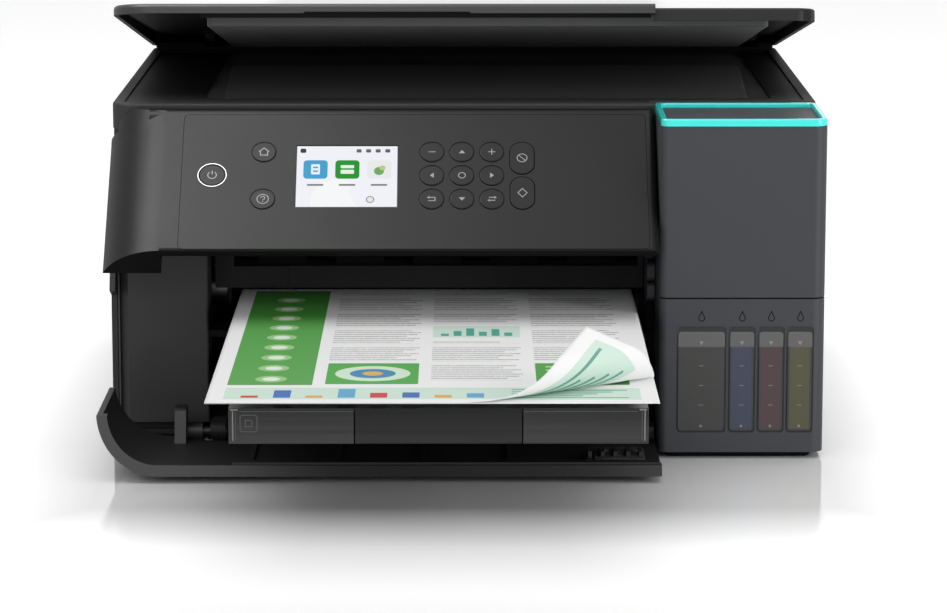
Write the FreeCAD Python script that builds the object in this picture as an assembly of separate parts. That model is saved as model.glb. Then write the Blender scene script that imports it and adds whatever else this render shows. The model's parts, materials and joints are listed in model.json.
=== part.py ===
import FreeCAD, Part
import math
import os

V = FreeCAD.Vector

# Sizes in millimetres. X runs to the right, Y away from the user, Z up from the table.
# Y is counted from the front of the ink tank while the shapes are drawn.
origin_y = 67.0            # moved to the middle of the resting outline on saving

half_width = 187.5
case_rear = 343.0
case_top = 146.0
case_low = 5.0
case_wall = 3.0
wall = 2.5
seam = 1.0                 # gap between neighbouring covers
slide_gap = 0.5            # gap between sliding plates
pin_gap = 0.06             # radial gap of a pin in its bore
foot_height = 3.5
foot_radius = 9.0

# control panel: a slab that swings about a rod along its top edge
panel_pivot_y = 54.5
panel_pivot_z = 171.0
panel_nose = 6.0
panel_length = 89.0
panel_depth = 20.0
panel_lip = 6.0
end_round = 4.5            # right-hand end of the panel, in plan
panel_right = 100.0
panel_bend_x = -157.0
panel_bend_r = 33.0
panel_rest = 45.0          # slope from upright as photographed
panel_shut = 22.0
face_left = -147.5
face_right = 95.2
face_thick = 2.0
key_radius = 6.4
key_gap = 0.45
key_proud = 0.3
key_cols = (-17.0, -1.4, 14.2)
key_rows = (25.8, 41.1, 56.3)
power_at = (-131.4, 40.8)
ring_out = 7.8
ring_in = 6.95
screen_box = (-88.0, -34.6, 21.2, 61.4)
arm_places = ((-120.0, -115.0), (70.0, 75.0))
arm_ring = 3.6
arm_pin = 1.8

# front door, drawn shut and then dropped a quarter turn
door_front = 17.0
door_thick = 3.0
door_low = 6.5
door_high = 89.5
door_bend = 32.0
door_right = 100.0
door_axis_y = 23.5
door_axis_z = 10.0
door_pin = 2.2
lug_radius = 4.5
wrap_end = 46.0

# print frame and paper path
paper_z = 92.0
plate_left = -152.0
plate_right = 156.0
plate_thick = 3.0
plate_front = 78.0
plate_rear = 300.0
feed_y = 204.0
exit_y = 98.0
roller_radius = 6.0
feed_shaft = 4.0
exit_shaft = 3.0
pick_y = 283.0
pick_z = 66.0
tooth_module = 1.5
small_teeth = 20
large_teeth = 56
gear_x = (-160.0, -154.0)
rail_y = 240.0
belt_z = 120.0
belt_right = 128.0
belt_left = -137.0
pulley_radius = 6.0
head_x = 120.0
head_half = 25.0

# scanner unit
scan_front = 61.7
scan_front_right = 73.4
scan_rear = 339.0
scan_top = 178.5
scan_split = 172.0
scan_low = 147.0
step_x = 101.0
glass_window = (-140.0, 165.0, 93.0, 311.0)
lift_axis_y = 335.0
lift_axis_z = 150.0
lift_pin = 2.4

# document cover, drawn shut and then raised
ridge_top = 182.9
lid_low = 178.9
lid_high = 187.3
lid_high_right = 185.7
lid_lip = 182.2            # lower edge of the front lip
lid_front = 63.0
lid_front_right = 75.0
lid_rear = 338.4
lid_axis_y = 336.0
lid_axis_z = 181.3
lid_pin = 1.3
lid_knuckle = 2.4
lid_rest = 9.3
mat_low = 176.8
mat_high = 183.6

# ink tank
tank_left = 101.0
tank_right = 187.0
tank_rear = 69.0
tank_split = 85.0
hood_rear = 68.5
hood_top = 174.6
hood_axis_y = 66.0
hood_axis_z = 172.0
hood_pin = 1.2
rim_thick = 3.2
rim_top = 178.5
windows = ((111.2, 134.6), (138.1, 149.8), (153.2, 164.9), (168.2, 180.0))
window_low = 15.2
window_high = 67.8
ports = (122.9, 143.95, 159.05, 174.1)

# output tray and loose paper
sheet_left = -120.0
sheet_right = 90.0
sheet_front = -213.0
sheet_length = 297.0
sheet_z = 74.5
sheet_thick = 0.3
tray_left = -121.0
tray_right = 91.0
tray_top = 73.5
tray_front = -60.0
tray_rear = 92.0
reach_left = -109.4
reach_right = 85.2
reach_front = -205.0
reach_rear = -45.0
reach_top = 70.8
reach_low = 54.0
tip_left = -51.4
tip_right = 27.1

# paper cassette
cas_left = -124.0
cas_right = 94.0
cas_front = 34.0
cas_rear = 332.0
cas_low = 15.5


def block(x0, x1, y0, y1, z0, z1):
    return Part.makeBox(x1 - x0, y1 - y0, z1 - z0, V(x0, y0, z0))


def rod_x(y, z, r, x0, x1):
    return Part.makeCylinder(r, x1 - x0, V(x0, y, z), V(1, 0, 0))


def rod_y(x, z, r, y0, y1):
    return Part.makeCylinder(r, y1 - y0, V(x, y0, z), V(0, 1, 0))


def rod_z(x, y, r, z0, z1):
    return Part.makeCylinder(r, z1 - z0, V(x, y, z0), V(0, 0, 1))


def outline(points, place):
    # a closed wire; a third number rounds that corner
    edges = []
    count = len(points)
    spans = []
    for i in range(count):
        a = points[i - 1]
        p = points[i]
        b = points[(i + 1) % count]
        here = V(p[0], p[1], 0)
        to_a = V(a[0], a[1], 0).sub(here).normalize()
        to_b = V(b[0], b[1], 0).sub(here).normalize()
        r = p[2] if len(p) > 2 else 0
        if r:
            half = to_a.getAngle(to_b) / 2
            back = r / math.tan(half)
            middle = to_a.add(to_b).normalize().multiply(r / math.sin(half) - r)
            spans.append((here + to_a * back, here + middle, here + to_b * back))
        else:
            spans.append((here, None, here))
    for i in range(count):
        start, mid, end = spans[i]
        before = spans[i - 1][2]
        if before.distanceToPoint(start) > 1e-6:
            edges.append(Part.makeLine(place(before), place(start)))
        if mid is not None:
            edges.append(Part.Arc(place(start), place(mid), place(end)).toShape())
    return Part.Wire(edges)


def plate(points, axis, lo, hi):
    # a flat outline swept along X, Y or Z
    if axis == "z":
        wire = outline(points, lambda p: V(p.x, p.y, lo))
        way = V(0, 0, hi - lo)
    elif axis == "x":
        wire = outline(points, lambda p: V(lo, p.x, p.y))
        way = V(hi - lo, 0, 0)
    else:
        wire = outline(points, lambda p: V(p.x, lo, p.y))
        way = V(0, hi - lo, 0)
    return Part.Face(wire).extrude(way)


def frame(x0, x1, y0, y1, r=0):
    return [(x0, y0, r), (x1, y0, r), (x1, y1, r), (x0, y1, r)]


def joined(pieces):
    whole = pieces[0]
    if len(pieces) > 1:
        whole = whole.fuse(pieces[1:])
    return whole.removeSplitter()


def less(whole, pieces):
    return whole.cut(pieces)


def turned(shape, y, z, degrees):
    # swings the front upwards about a line along X
    shape.rotate(V(0, y, z), V(1, 0, 0), -degrees)
    return shape


def softened(shape, radius, wanted):
    edges = [e for e in shape.Edges if wanted(e)]
    return shape.makeFillet(radius, edges)


def bevelled(shape, size, wanted):
    return shape.makeChamfer(size, [e for e in shape.Edges if wanted(e)])


def at_level(z):
    return lambda e: abs(e.BoundBox.ZMin - z) < 1e-3 and abs(e.BoundBox.ZMax - z) < 1e-3


def base_pan():
    low = foot_height
    floor = low + wall
    edge = [(-183, 45), (-136, 45), (-136, 31), (96, 31), (96, 72), (183, 72),
            (183, 338, 14), (-183, 338, 14)]
    inner = [(-180.5, 20), (97, 20), (97, 74.5), (180.5, 74.5), (180.5, 335.5, 12),
             (-180.5, 335.5, 12)]
    parts = [plate(edge, "z", low, floor)]
    parts.append(less(plate(edge, "z", low, 14), [plate(inner, "z", floor, 15)]))
    for x in (-118, 84):
        parts.append(block(x, x + 4, 36, 330, low, cas_low - slide_gap))
    for y in (120, 200, 280):
        parts.append(block(-116, 86, y, y + 2, low, 10))
    parts.append(block(-178, -140, 49, 70, low, 10))
    for x0, x1 in ((-134, -126), (88, 95)):
        nose = door_axis_y - lug_radius
        top = door_axis_z + lug_radius
        lug = [(nose, door_axis_z - lug_radius, lug_radius - 0.1), (33, door_axis_z - lug_radius), (33, low),
               (38, low), (38, top), (nose, top, lug_radius - 0.1)]
        parts.append(plate(lug, "x", x0, x1))
    body = joined(parts)
    return less(body, [rod_x(door_axis_y, door_axis_z, door_pin + pin_gap, -136, 97),
                       block(-184, -130, 44, 72.6, 10, 15)])


def rubber_feet():
    spots = ((-162, 62), (150, 22), (-160, 318), (160, 318))
    feet = [Part.makeCone(foot_radius - 1, foot_radius, foot_height, V(x, y, 0)) for x, y in spots]
    return Part.makeCompound(feet)


def outer_case():
    w = half_width
    i = half_width - case_wall
    shell = less(
        plate([(-w, 30), (w, 30), (w, case_rear, 18), (-w, case_rear, 18)], "z", case_low, case_top),
        [plate([(-i, 20), (i, 20), (i, case_rear - case_wall, 15), (-i, case_rear - case_wall, 15)],
               "z", 0, case_top + 1)])
    # the left wall's front edge follows the shut door and the shut panel
    front = [(20, 0), (wrap_end + seam, 0), (wrap_end + seam, 78.4), (36.3, 82.7), (61.5, 146.0),
             (61.5, 160), (20, 160)]
    cuts = [plate(front, "x", -w - 1, -w + 20)]
    cuts.append(block(90, w + 1, 20, tank_rear + 2, 0, 160))
    cuts.append(block(-126, 96, 330, 350, 20, 118))
    cuts.append(block(111, 135, 330, 350, 21, 41))
    cuts.append(block(162.5, 173.5, 330, 350, 80.5, 93.5))
    for n in range(8):
        cuts.append(block(112 + 8 * n, 116 + 8 * n, 330, 350, 54, 70))
    for n in range(9):
        cuts.append(plate(frame(110 + 12 * n, 116 + 12 * n, 30, 62, 2.9), "x", -w - 1, -w + 5))
    shell = less(shell, cuts)
    parts = [shell]
    parts.append(block(-i, -178, 73, 330, case_top - 3, case_top))
    parts.append(block(178, i, 76, 330, case_top - 3, case_top))
    for x0 in (-150, 145):
        ear = [(lift_axis_y - 5, 128), (case_rear - 2, 128), (case_rear - 2, case_top - 2),
               (lift_axis_y + 5, lift_axis_z), (lift_axis_y - 5, lift_axis_z)]
        parts.append(plate(ear, "x", x0, x0 + 5))
        parts.append(rod_x(lift_axis_y, lift_axis_z, 5, x0, x0 + 5))
    body = joined(parts)
    return less(body, [rod_x(lift_axis_y, lift_axis_z, lift_pin + pin_gap, -160, 160)])


def front_frame():
    pillar = [(-183, 49.5), (-178.5, 45), (-136, 45, 1.5), (-136, 72), (-183, 72)]
    parts = [less(plate(pillar, "z", 10, 104), [block(-180, -139, 48, 73, 12.5, 101.5)])]
    parts.append(block(-183, 100.5, 66, 72, 100, 145))
    parts.append(block(96.5, 100.5, 54, 72, 8, 104))
    for z0, z1 in ((8, 42), (76, 86), (86.6, 97)):
        parts.append(plate([(40, z0, 3), (60, z0), (60, z1), (40, z1, 3)], "x", 96.5, 100.5))
    parts.append(block(-138, -119, 46, 72, 56, tray_top - 14))
    parts.append(block(89, 97, 42, 72, 56, tray_top - 14))
    y = panel_pivot_y
    z = panel_pivot_z
    arm = [(y, z - arm_ring), (y, z + arm_ring), (58, 174), (62, 170.8), (68.5, 168), (68.5, 145),
           (72, 145), (72, 128), (66, 128), (63, 146), (63, 160)]
    for x0, x1 in arm_places:
        parts.append(plate(arm, "x", x0, x1))
        parts.append(rod_x(y, z, arm_ring, x0, x1))
    body = joined(parts)
    bores = [rod_x(y, z, arm_pin + pin_gap, x0 - 1, x1 + 1) for x0, x1 in arm_places]
    slots = [block(-170 + 14 * n, -162 + 14 * n, 60, 75, 112, 138) for n in range(3)]
    return less(body, bores + slots)


def inner_guide():
    parts = [block(-134, 96, 74, 76, 77.5, 104)]
    parts.append(block(-134, -95, 72.5, 74, 79, 99.5))
    parts.append(block(-134, 96, 72, 74, 101, 104))
    parts.append(block(-134, 96, 76, 84, 77.5, 79))
    body = joined(parts)
    cuts = [block(-124, 93, 70, 80, 89.5, 95)]
    for n in range(12):
        x = -116 + 18 * n
        cuts.append(block(x, x + 3, 70, 80, 95, 98.5))
    return less(body, cuts)


def platen():
    parts = []
    for x0 in (plate_left, plate_right):
        side = [(plate_front, 6, 4), (plate_rear, 6, 4), (plate_rear, 90, 14), (262, 104), (262, 142, 6),
                (plate_front + 24, 142, 10), (plate_front, 118, 10)]
        sheet = plate(side, "x", x0, x0 + plate_thick)
        holes = [plate(frame(90, 134, 16, 48, 6), "x", x0 - 1, x0 + 5),
                 plate(frame(190, 232, 16, 60, 6), "x", x0 - 1, x0 + 5),
                 plate(frame(120, 196, 108, 132, 6), "x", x0 - 1, x0 + 5)]
        parts.append(less(sheet, holes))
    left = plate_left + plate_thick
    parts.append(block(left, plate_right, 112, 188, 77.2, 80))
    deck = block(-138, 92, 110, 190, 80, 90)
    pocket = [block(-134 + 56.5 * n, -83 + 56.5 * n, 114, 186, 79, 87) for n in range(4)]
    parts.append(less(deck, pocket))
    for n in range(14):
        x = -134 + 17 * n
        parts.append(block(x, x + 1.6, 112, 188, 90, paper_z))
    body = joined(parts)
    far = (plate_left - 1, plate_right + 5)
    gear_y, gear_z = large_gear_centre()
    bores = [rod_x(feed_y, paper_z - roller_radius, feed_shaft + pin_gap, *far),
             rod_x(exit_y, paper_z - roller_radius, exit_shaft + pin_gap, *far),
             rod_x(pick_y, pick_z, exit_shaft + pin_gap, *far),
             rod_x(gear_y, gear_z, exit_shaft + pin_gap, plate_left - 1, plate_left + 4)]
    return less(body, bores)


def carriage_rail():
    left = plate_left + plate_thick
    y = rail_y
    web = [(y, 98), (y - 8, 98), (y - 8, 99.5), (y, 99.5), (y, 140.5), (y - 8, 140.5), (y - 8, 142),
           (y + 1.5, 142), (y + 1.5, 96), (y, 96)]
    parts = [plate(web, "x", left, plate_right)]
    parts.append(rod_y(belt_left, belt_z, pulley_radius, y - 7, y))
    body = joined(parts)
    cuts = [rod_y(belt_right, belt_z, 8, y - 1, y + 3)]
    for n in range(6):
        x = -110 + 36 * n
        cuts.append(plate(frame(x, x + 22, 104, 111, 3), "y", y - 1, y + 3))
    return less(body, cuts)


def carriage_belt():
    def loop(r):
        return [(belt_left - r, belt_z - r, r - 0.01), (belt_right + r, belt_z - r, r - 0.01),
                (belt_right + r, belt_z + r, r - 0.01), (belt_left - r, belt_z + r, r - 0.01)]
    inside = pulley_radius + 0.4
    return less(plate(loop(inside + 1), "y", rail_y - 7, rail_y - 1.4),
                [plate(loop(inside), "y", rail_y - 8, rail_y)])


def carriage_motor():
    y = rail_y + 1.5
    can = rod_y(belt_right, belt_z, 16.5, y, y + 30)
    can = bevelled(can, 1.5, lambda e: e.BoundBox.YMin > y + 29)
    tabs = [block(belt_right - 22, belt_right + 22, y, y + 1.5, belt_z - 5, belt_z + 5)]
    body = joined([can] + tabs)
    cuts = [rod_y(belt_right, belt_z, 2 + pin_gap, y - 1, y + 20)]
    for s in (-1, 1):
        cuts.append(rod_y(belt_right + 19 * s, belt_z, 1.5, y - 1, y + 3))
    return less(body, cuts)


def drive_pulley():
    body = joined([rod_y(belt_right, belt_z, pulley_radius, rail_y - 6.8, rail_y - 1.6),
                   rod_y(belt_right, belt_z, 2, rail_y - 8, rail_y + 19)])
    return body


def print_carriage():
    x0 = head_x - head_half
    x1 = head_x + head_half
    side = [(150, 94.5, 2), (188, 94.5, 2), (188, 110), (231, 110), (231, 143), (156, 143, 8),
            (150, 132, 4)]
    body = plate(side, "x", x0, x1)
    body = less(body, [block(x0 + 3, x1 - 3, 158, 226, 113, 144)])
    parts = [body]
    parts.append(block(head_x - 12, head_x + 12, 156, 182, 93.4, 94.6))
    parts.append(block(x0, x1, 228, 238, 142.6, 144.4))
    parts.append(block(x0, x1, 228, 231, 142, 144.4))
    parts.append(block(head_x - 8, head_x + 8, 230, 237, 130, 133))
    for n in range(4):
        x = x0 + 4.5 + 10.5 * n
        parts.append(block(x, x + 9.5, 162, 204, 112.9, 136))
    return joined(parts)


def cap_station():
    body = block(98, 142, 152, 190, 80, 92)
    cup = less(block(106, 134, 155, 183, 92, 92.9), [block(108, 132, 157, 181, 91, 93)])
    body = joined([body, cup])
    return less(body, [block(108, 132, 157, 181, 88, 93), block(136, 140, 154, 188, 84, 93)])


def gear(teeth, y, z, first):
    # straight teeth with plenty of play; first is the angle of one tooth's middle
    pitch = teeth * tooth_module / 2
    top = pitch + 0.9 * tooth_module
    root = pitch - 1.2 * tooth_module
    step = 2 * math.pi / teeth
    points = []
    for n in range(teeth):
        a = first + n * step
        for r, share in ((root, -0.30), (top, -0.11), (top, 0.11), (root, 0.30)):
            points.append((y + r * math.cos(a + share * step), z + r * math.sin(a + share * step)))
    return plate(points, "x", gear_x[0], gear_x[1])


def large_gear_centre():
    reach = (small_teeth + large_teeth) * tooth_module / 2
    half = (feed_y - exit_y) / 2
    return (feed_y + exit_y) / 2, paper_z - roller_radius - math.sqrt(reach ** 2 - half ** 2)


def meshed(angle, teeth, own):
    # the tooth angle of a small gear seen along angle from the large gear, whose tooth is at zero
    share = angle * teeth / (2 * math.pi)
    return angle + math.pi + (share - 0.5) * 2 * math.pi / own


def roller(y, shaft, first):
    z = paper_z - roller_radius
    parts = [rod_x(y, z, shaft, -164, 160)]
    for n in range(5):
        x = -112 + 42 * n
        parts.append(rod_x(y, z, roller_radius, x, x + 26))
    parts.append(gear(small_teeth, y, z, first))
    return joined(parts)


def feed_roller():
    y, z = large_gear_centre()
    along = math.atan2(paper_z - roller_radius - z, feed_y - y)
    return roller(feed_y, feed_shaft, meshed(along, large_teeth, small_teeth))


def exit_roller():
    y, z = large_gear_centre()
    along = math.atan2(paper_z - roller_radius - z, exit_y - y)
    return roller(exit_y, exit_shaft, meshed(along, large_teeth, small_teeth))


def feed_gear():
    y, z = large_gear_centre()
    wheel = gear(large_teeth, y, z, 0)
    windows_in = []
    for n in range(5):
        a = 2 * math.pi * n / 5
        windows_in.append(rod_x(y + 25 * math.cos(a), z + 25 * math.sin(a), 10, gear_x[0] - 1, gear_x[1] + 1))
    wheel = less(wheel, windows_in)
    return joined([wheel, rod_x(y, z, exit_shaft, gear_x[0] - 3, -136)])


def feed_motor():
    y, z = large_gear_centre()
    start = plate_left + plate_thick
    can = rod_x(y, z, 11.5, start, -131)
    can = bevelled(can, 1.2, lambda e: e.BoundBox.XMin > -131.5)
    return less(can, [rod_x(y, z, exit_shaft + pin_gap, start - 1, -134.5)])


def pickup_roller():
    parts = [rod_x(pick_y, pick_z, exit_shaft, -160, 160)]
    for x in (-42, -6):
        parts.append(less(rod_x(pick_y, pick_z, 13, x, x + 18),
                          [rod_x(pick_y, pick_z, 10.5, x - 1, x + 6), rod_x(pick_y, pick_z, 10.5, x + 12, x + 19)]))
    return joined(parts)


def main_board():
    board = block(172, 173.6, 200, 334, 20, 110)
    parts = [board]
    for y in (208, 316):
        for z in (28, 102):
            parts.append(rod_x(y, z, 3, 173.6, half_width - case_wall))
    parts.append(block(168.5, 172, 236, 260, 58, 82))
    parts.append(block(169.5, 172, 272, 286, 40, 60))
    for n in range(4):
        parts.append(block(165, 172, 206 + 13 * n, 216 + 13 * n, 92, 98))
    for n in range(3):
        parts.append(rod_x(300 + 10 * n, 34, 4, 162, 172))
    parts.append(less(block(164, 172, 324, 341, 82, 92), [block(166, 170.5, 330, 342, 84, 90)]))
    return joined(parts)


def power_supply():
    body = block(104, 150, 186, 330, 6, 58)
    inlet = plate(frame(112, 134, 22, 40, 4), "y", 330, 342)
    socket = joined([rod_y(119.5, 31, 5.5, 333, 343), rod_y(126.5, 31, 5.5, 333, 343),
                     block(119.5, 126.5, 333, 343, 25.5, 36.5)])
    slots = [block(108 + 7 * n, 111 + 7 * n, 200, 316, 56, 59) for n in range(6)]
    body = less(joined([body, inlet]), [socket] + slots)
    pins = [rod_y(x, 31, 1.2, 332, 340) for x in (119.5, 126.5)]
    return joined([body] + pins)


def rear_cover():
    skin = plate([(-125, 21, 6), (95, 21, 6), (95, 117, 6), (-125, 117, 6)], "y", 339, 347)
    skin = bevelled(skin, 1.5, lambda e: e.BoundBox.YMin > 346.9)
    skin = less(skin, [plate(frame(-122, 92, 24, 114, 4), "y", 338, 344.5)])
    parts = [skin]
    bow = [(344.5, 112), (320, 112, 2), (326, 98, 8), (329, 80, 20), (326, 62, 8), (320, 52, 2), (344.5, 52)]
    for n in range(8):
        x = -112 + 26.5 * n
        parts.append(plate(bow, "x", x, x + 2))
    body = joined(parts)
    grips = [plate(frame(-118, -98, 60, 80, 4), "y", 346, 348), plate(frame(68, 88, 60, 80, 4), "y", 346, 348)]
    return less(body, grips)


def tank_edge(rear):
    return [(tank_left, 0, 4), (tank_right, 0, 7), (tank_right, rear), (tank_left, rear)]


def tank_case():
    inner = [(tank_left + wall, wall, 2), (tank_right - wall, wall, 5), (tank_right - wall, tank_rear - wall),
             (tank_left + wall, tank_rear - wall)]
    top = tank_split - 0.4
    body = less(plate(tank_edge(tank_rear), "z", foot_height, top),
                [plate(inner, "z", foot_height + wall, top + 1)])
    cuts = []
    for x0, x1 in windows:
        cuts.append(plate(frame(x0, x1, window_low, window_high, 1.5), "y", -1, wall + 1))
        cuts.append(plate(frame(x0 - 1.2, x1 + 1.2, window_low - 1.2, window_high + 2.4, 2), "y", -1, 0.9))
    body = less(body, cuts)
    parts = [body, block(104, 180, tank_rear, 72, foot_height, foot_height + wall)]
    for x0, x1, p0, p1 in ((107, 110, 103.2, 107), (178, 181, 181, 184.8)):
        stem = block(x0, x1, hood_axis_y - 2.4, tank_rear - 0.6, 80, hood_axis_z)
        parts.append(stem)
        parts.append(rod_x(hood_axis_y, hood_axis_z, 2.4, x0, x1))
        parts.append(rod_x(hood_axis_y, hood_axis_z, hood_pin, p0, p1))
    return joined(parts)


def ink_tanks():
    body = block(106, 182, 4, 60, 8, 80)
    edges = (107.6, 136.4, 151.5, 166.6, 180.4)
    rooms = []
    for n in range(4):
        rooms.append(block(edges[n] + 0.7, edges[n + 1] - 0.7, 5.6, 58.4, 9.6, 78.4))
    parts = [less(body, rooms)]
    for x0, x1 in windows:
        parts.append(plate(frame(x0 + 0.4, x1 - 0.4, window_low + 0.4, window_high - 0.4, 1.2), "y", 1.6, 4))
    for x in ports:
        parts.append(rod_z(x, 30, 4.6, 80, 86))
        for s in (-1, 1):
            a = min(x + 4.2 * s, x + 6 * s)
            parts.append(block(a, a + 1.8, 41.5, 46.5, 80, 88))
            parts.append(rod_x(44, 88, 2.5, a, a + 1.8))
    parts.append(block(110, 178, 6, 58, foot_height + wall, 8))
    body = joined(parts)
    cuts = [rod_z(x, 30, 3, 77, 87) for x in ports]
    cuts.append(rod_x(44, 88, 1.2 + pin_gap, 108, 182))
    return less(body, cuts)


def tank_cap(x):
    parts = [rod_z(x, 30, 5.4, 86.4, 90)]
    parts.append(rod_z(x, 30, 2.6, 85, 86.4))
    parts.append(plate([(x - 3.6, 18, 3), (x + 3.6, 18, 3), (x + 3.6, 44), (x - 3.6, 44)], "z", 87.2, 89.6))
    parts.append(rod_x(44, 88, 2.2, x - 3.8, x + 3.8))
    parts.append(rod_x(44, 88, 1.2, x - 6, x + 6))
    return joined(parts)


def tank_hood():
    inner = [(tank_left + wall, wall, 2), (tank_right - wall, wall, 5), (tank_right - wall, 80),
             (tank_left + wall, 80)]
    body = less(plate(tank_edge(hood_rear), "z", tank_split + 0.4, hood_top),
                [plate(inner, "z", 80, hood_top + 1)])
    lid = plate(rim_inside(), "z", hood_top - 0.2, hood_top + 1.6)
    ledge = less(plate(tank_edge(hood_rear), "z", hood_top - 1.6, hood_top),
                 [plate(frame(108, 180, 8, 60, 3), "z", hood_top - 3, hood_top + 1)])
    parts = [body, lid, ledge]
    for x0, x1 in ((tank_left + 1.6, 106.6), (181.4, tank_right - 1.6)):
        parts.append(rod_x(hood_axis_y, hood_axis_z, 2.55, x0, x1))
    hood = joined(parts)
    bores = [rod_x(hood_axis_y, hood_axis_z, hood_pin + pin_gap, 102.8, 107),
             rod_x(hood_axis_y, hood_axis_z, hood_pin + pin_gap, 181, 185.2)]
    slots = [block(106.6, 110.4, hood_axis_y - 3.2, 70, 160, hood_top + 0.05),
             block(177.6, 181.4, hood_axis_y - 3.2, 70, 160, hood_top + 0.05)]
    return less(hood, bores + slots)


def rim_inside():
    t = rim_thick
    return [(tank_left + t, t, 2), (tank_right - t, t, 4), (tank_right - t, hood_rear - t, 3),
            (tank_left + t, hood_rear - t, 3)]


def tank_rim():
    edge = [(tank_left, 0, 4), (tank_right, 0, 7), (tank_right, hood_rear, 4), (tank_left, hood_rear, 4)]
    ring = less(plate(edge, "z", hood_top, rim_top), [plate(rim_inside(), "z", hood_top - 1, rim_top + 1)])
    return softened(ring, 0.9, at_level(rim_top))


def scan_edge(inset, front_step, rear, r):
    w = half_width - inset
    return [(-w, scan_front + front_step, r), (step_x, scan_front + front_step),
            (step_x, scan_front_right + front_step / 2), (w, scan_front_right + front_step / 2, 4),
            (w, rear, r), (-w, rear, r)]


def scanner_bezel():
    edge = scan_edge(0, 0, scan_rear, 12)
    inner = [(-half_width + wall, scan_front + wall, 9), (step_x - wall, scan_front + wall),
             (step_x - wall, scan_front_right + wall), (half_width - wall, scan_front_right + wall, 2),
             (half_width - wall, scan_rear - wall, 9), (-half_width + wall, scan_rear - wall, 9)]
    top = scan_top - 2
    body = less(plate(edge, "z", scan_split, scan_top), [plate(inner, "z", scan_split - 1, top)])
    body = softened(body, 1.2, lambda e: at_level(scan_top)(e))
    x0, x1, y0, y1 = glass_window
    body = less(body, [plate(frame(x0, x1, y0, y1, 3), "z", top - 1, scan_top + 1)])
    # a shallow step round the glass
    body = less(body, [plate(frame(x0 - 5, x1 + 5, y0 - 3, y1 + 5, 4), "z", scan_top - 0.6, scan_top + 1)])
    # the border sinks inside a narrow outer rim
    border = [(-half_width + 6, scan_front + 6, 8), (step_x - 3, scan_front + 6), (step_x - 3, scan_front_right + 4),
              (half_width - 6, scan_front_right + 4, 3), (half_width - 6, scan_rear - 26, 3),
              (-half_width + 6, scan_rear - 26, 3)]
    body = less(body, [plate(border, "z", scan_top - 0.9, scan_top + 1)])
    parts = [body]
    # a ridge closes the gap under the raised cover
    ridge = block(-183, 183, 317, 321.5, top, ridge_top)
    for x in (-156, 164):
        ridge = less(ridge, [block(x, x + 12, 316, 323, 180.6, 190)])
    parts.append(ridge)
    # the front left corner hangs over the end of the panel's rod
    flap = less(plate(edge, "z", 164.8, top), [plate(scan_edge(1.6, 1.6, scan_rear - 2, 10.4), "z", 160, top + 1)])
    wedge = [(-200, 164.8), (-184, 164.8), (-164, scan_split + 0.4), (-164, top), (-200, top)]
    parts.append(flap.common(plate(wedge, "y", 50, 84)))
    for x in (-158, -146, 162, 174):
        parts.append(block(x, x + 4, lid_axis_y - lid_knuckle, lid_axis_y + lid_knuckle, top, lid_axis_z))
        parts.append(rod_x(lid_axis_y, lid_axis_z, lid_knuckle, x, x + 4))
    body = joined(parts)
    return less(body, [rod_x(lid_axis_y, lid_axis_z, lid_pin + pin_gap, -160, 180)])


def scanner_base():
    edge = [(-185.5, 70, 6), (step_x, 70), (step_x, 79), (185.5, 79, 4), (185.5, 337, 12), (-185.5, 337, 12)]
    inner = [(-183, 72.5, 4), (step_x - wall, 72.5), (step_x - wall, 81.5), (183, 81.5, 2), (183, 334.5, 10),
             (-183, 334.5, 10)]
    body = less(plate(edge, "z", scan_low, scan_split), [plate(inner, "z", scan_low + wall, scan_split + 1)])
    notches = [block(x, x + 12, 326, 345, 140, 158) for x in (-153.5, 141.5)]
    body = less(body, notches)
    parts = [body, block(-172, 178, 196, 204, scan_low, 153)]
    for x in (-153.5, 141.5):
        parts.append(less(block(x - 2, x + 14, 323.5, 337, scan_low, 160),
                          [block(x, x + 12, 326, 345, 140, 157.9)]))
        parts.append(rod_x(lift_axis_y, lift_axis_z, lift_pin, x - 1, x + 13))
    for n in range(7):
        x = -120 + 40 * n
        parts.append(block(x, x + 2, 90, 190, scan_low, 151.5))
    for x, y in ((-172, 76), (90, 76), (-172, 200), (172, 200)):
        parts.append(rod_z(x, y, 4, scan_low, scan_low + 4))
    return joined(parts)


def scanner_glass():
    x0, x1, y0, y1 = glass_window
    return block(x0 - 6, x1 + 6, y0 - 6, y1 + 6, scan_top - 5, scan_top - 2)


def scan_carriage():
    bar = plate([(84, 154), (322, 154), (322, 170, 2), (84, 170, 2)], "x", -165, -145)
    lens = block(-159, -151, 92, 312, 169.9, 172.4)
    pocket = block(-163, -147, 88, 188, 153, 158)
    parts = [less(bar, [pocket]), lens]
    for y0, y1 in ((190, 195.4), (204.6, 210)):
        parts.append(block(-165, -145, y0, y1, 150.2, 155))
    return joined(parts)


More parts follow.
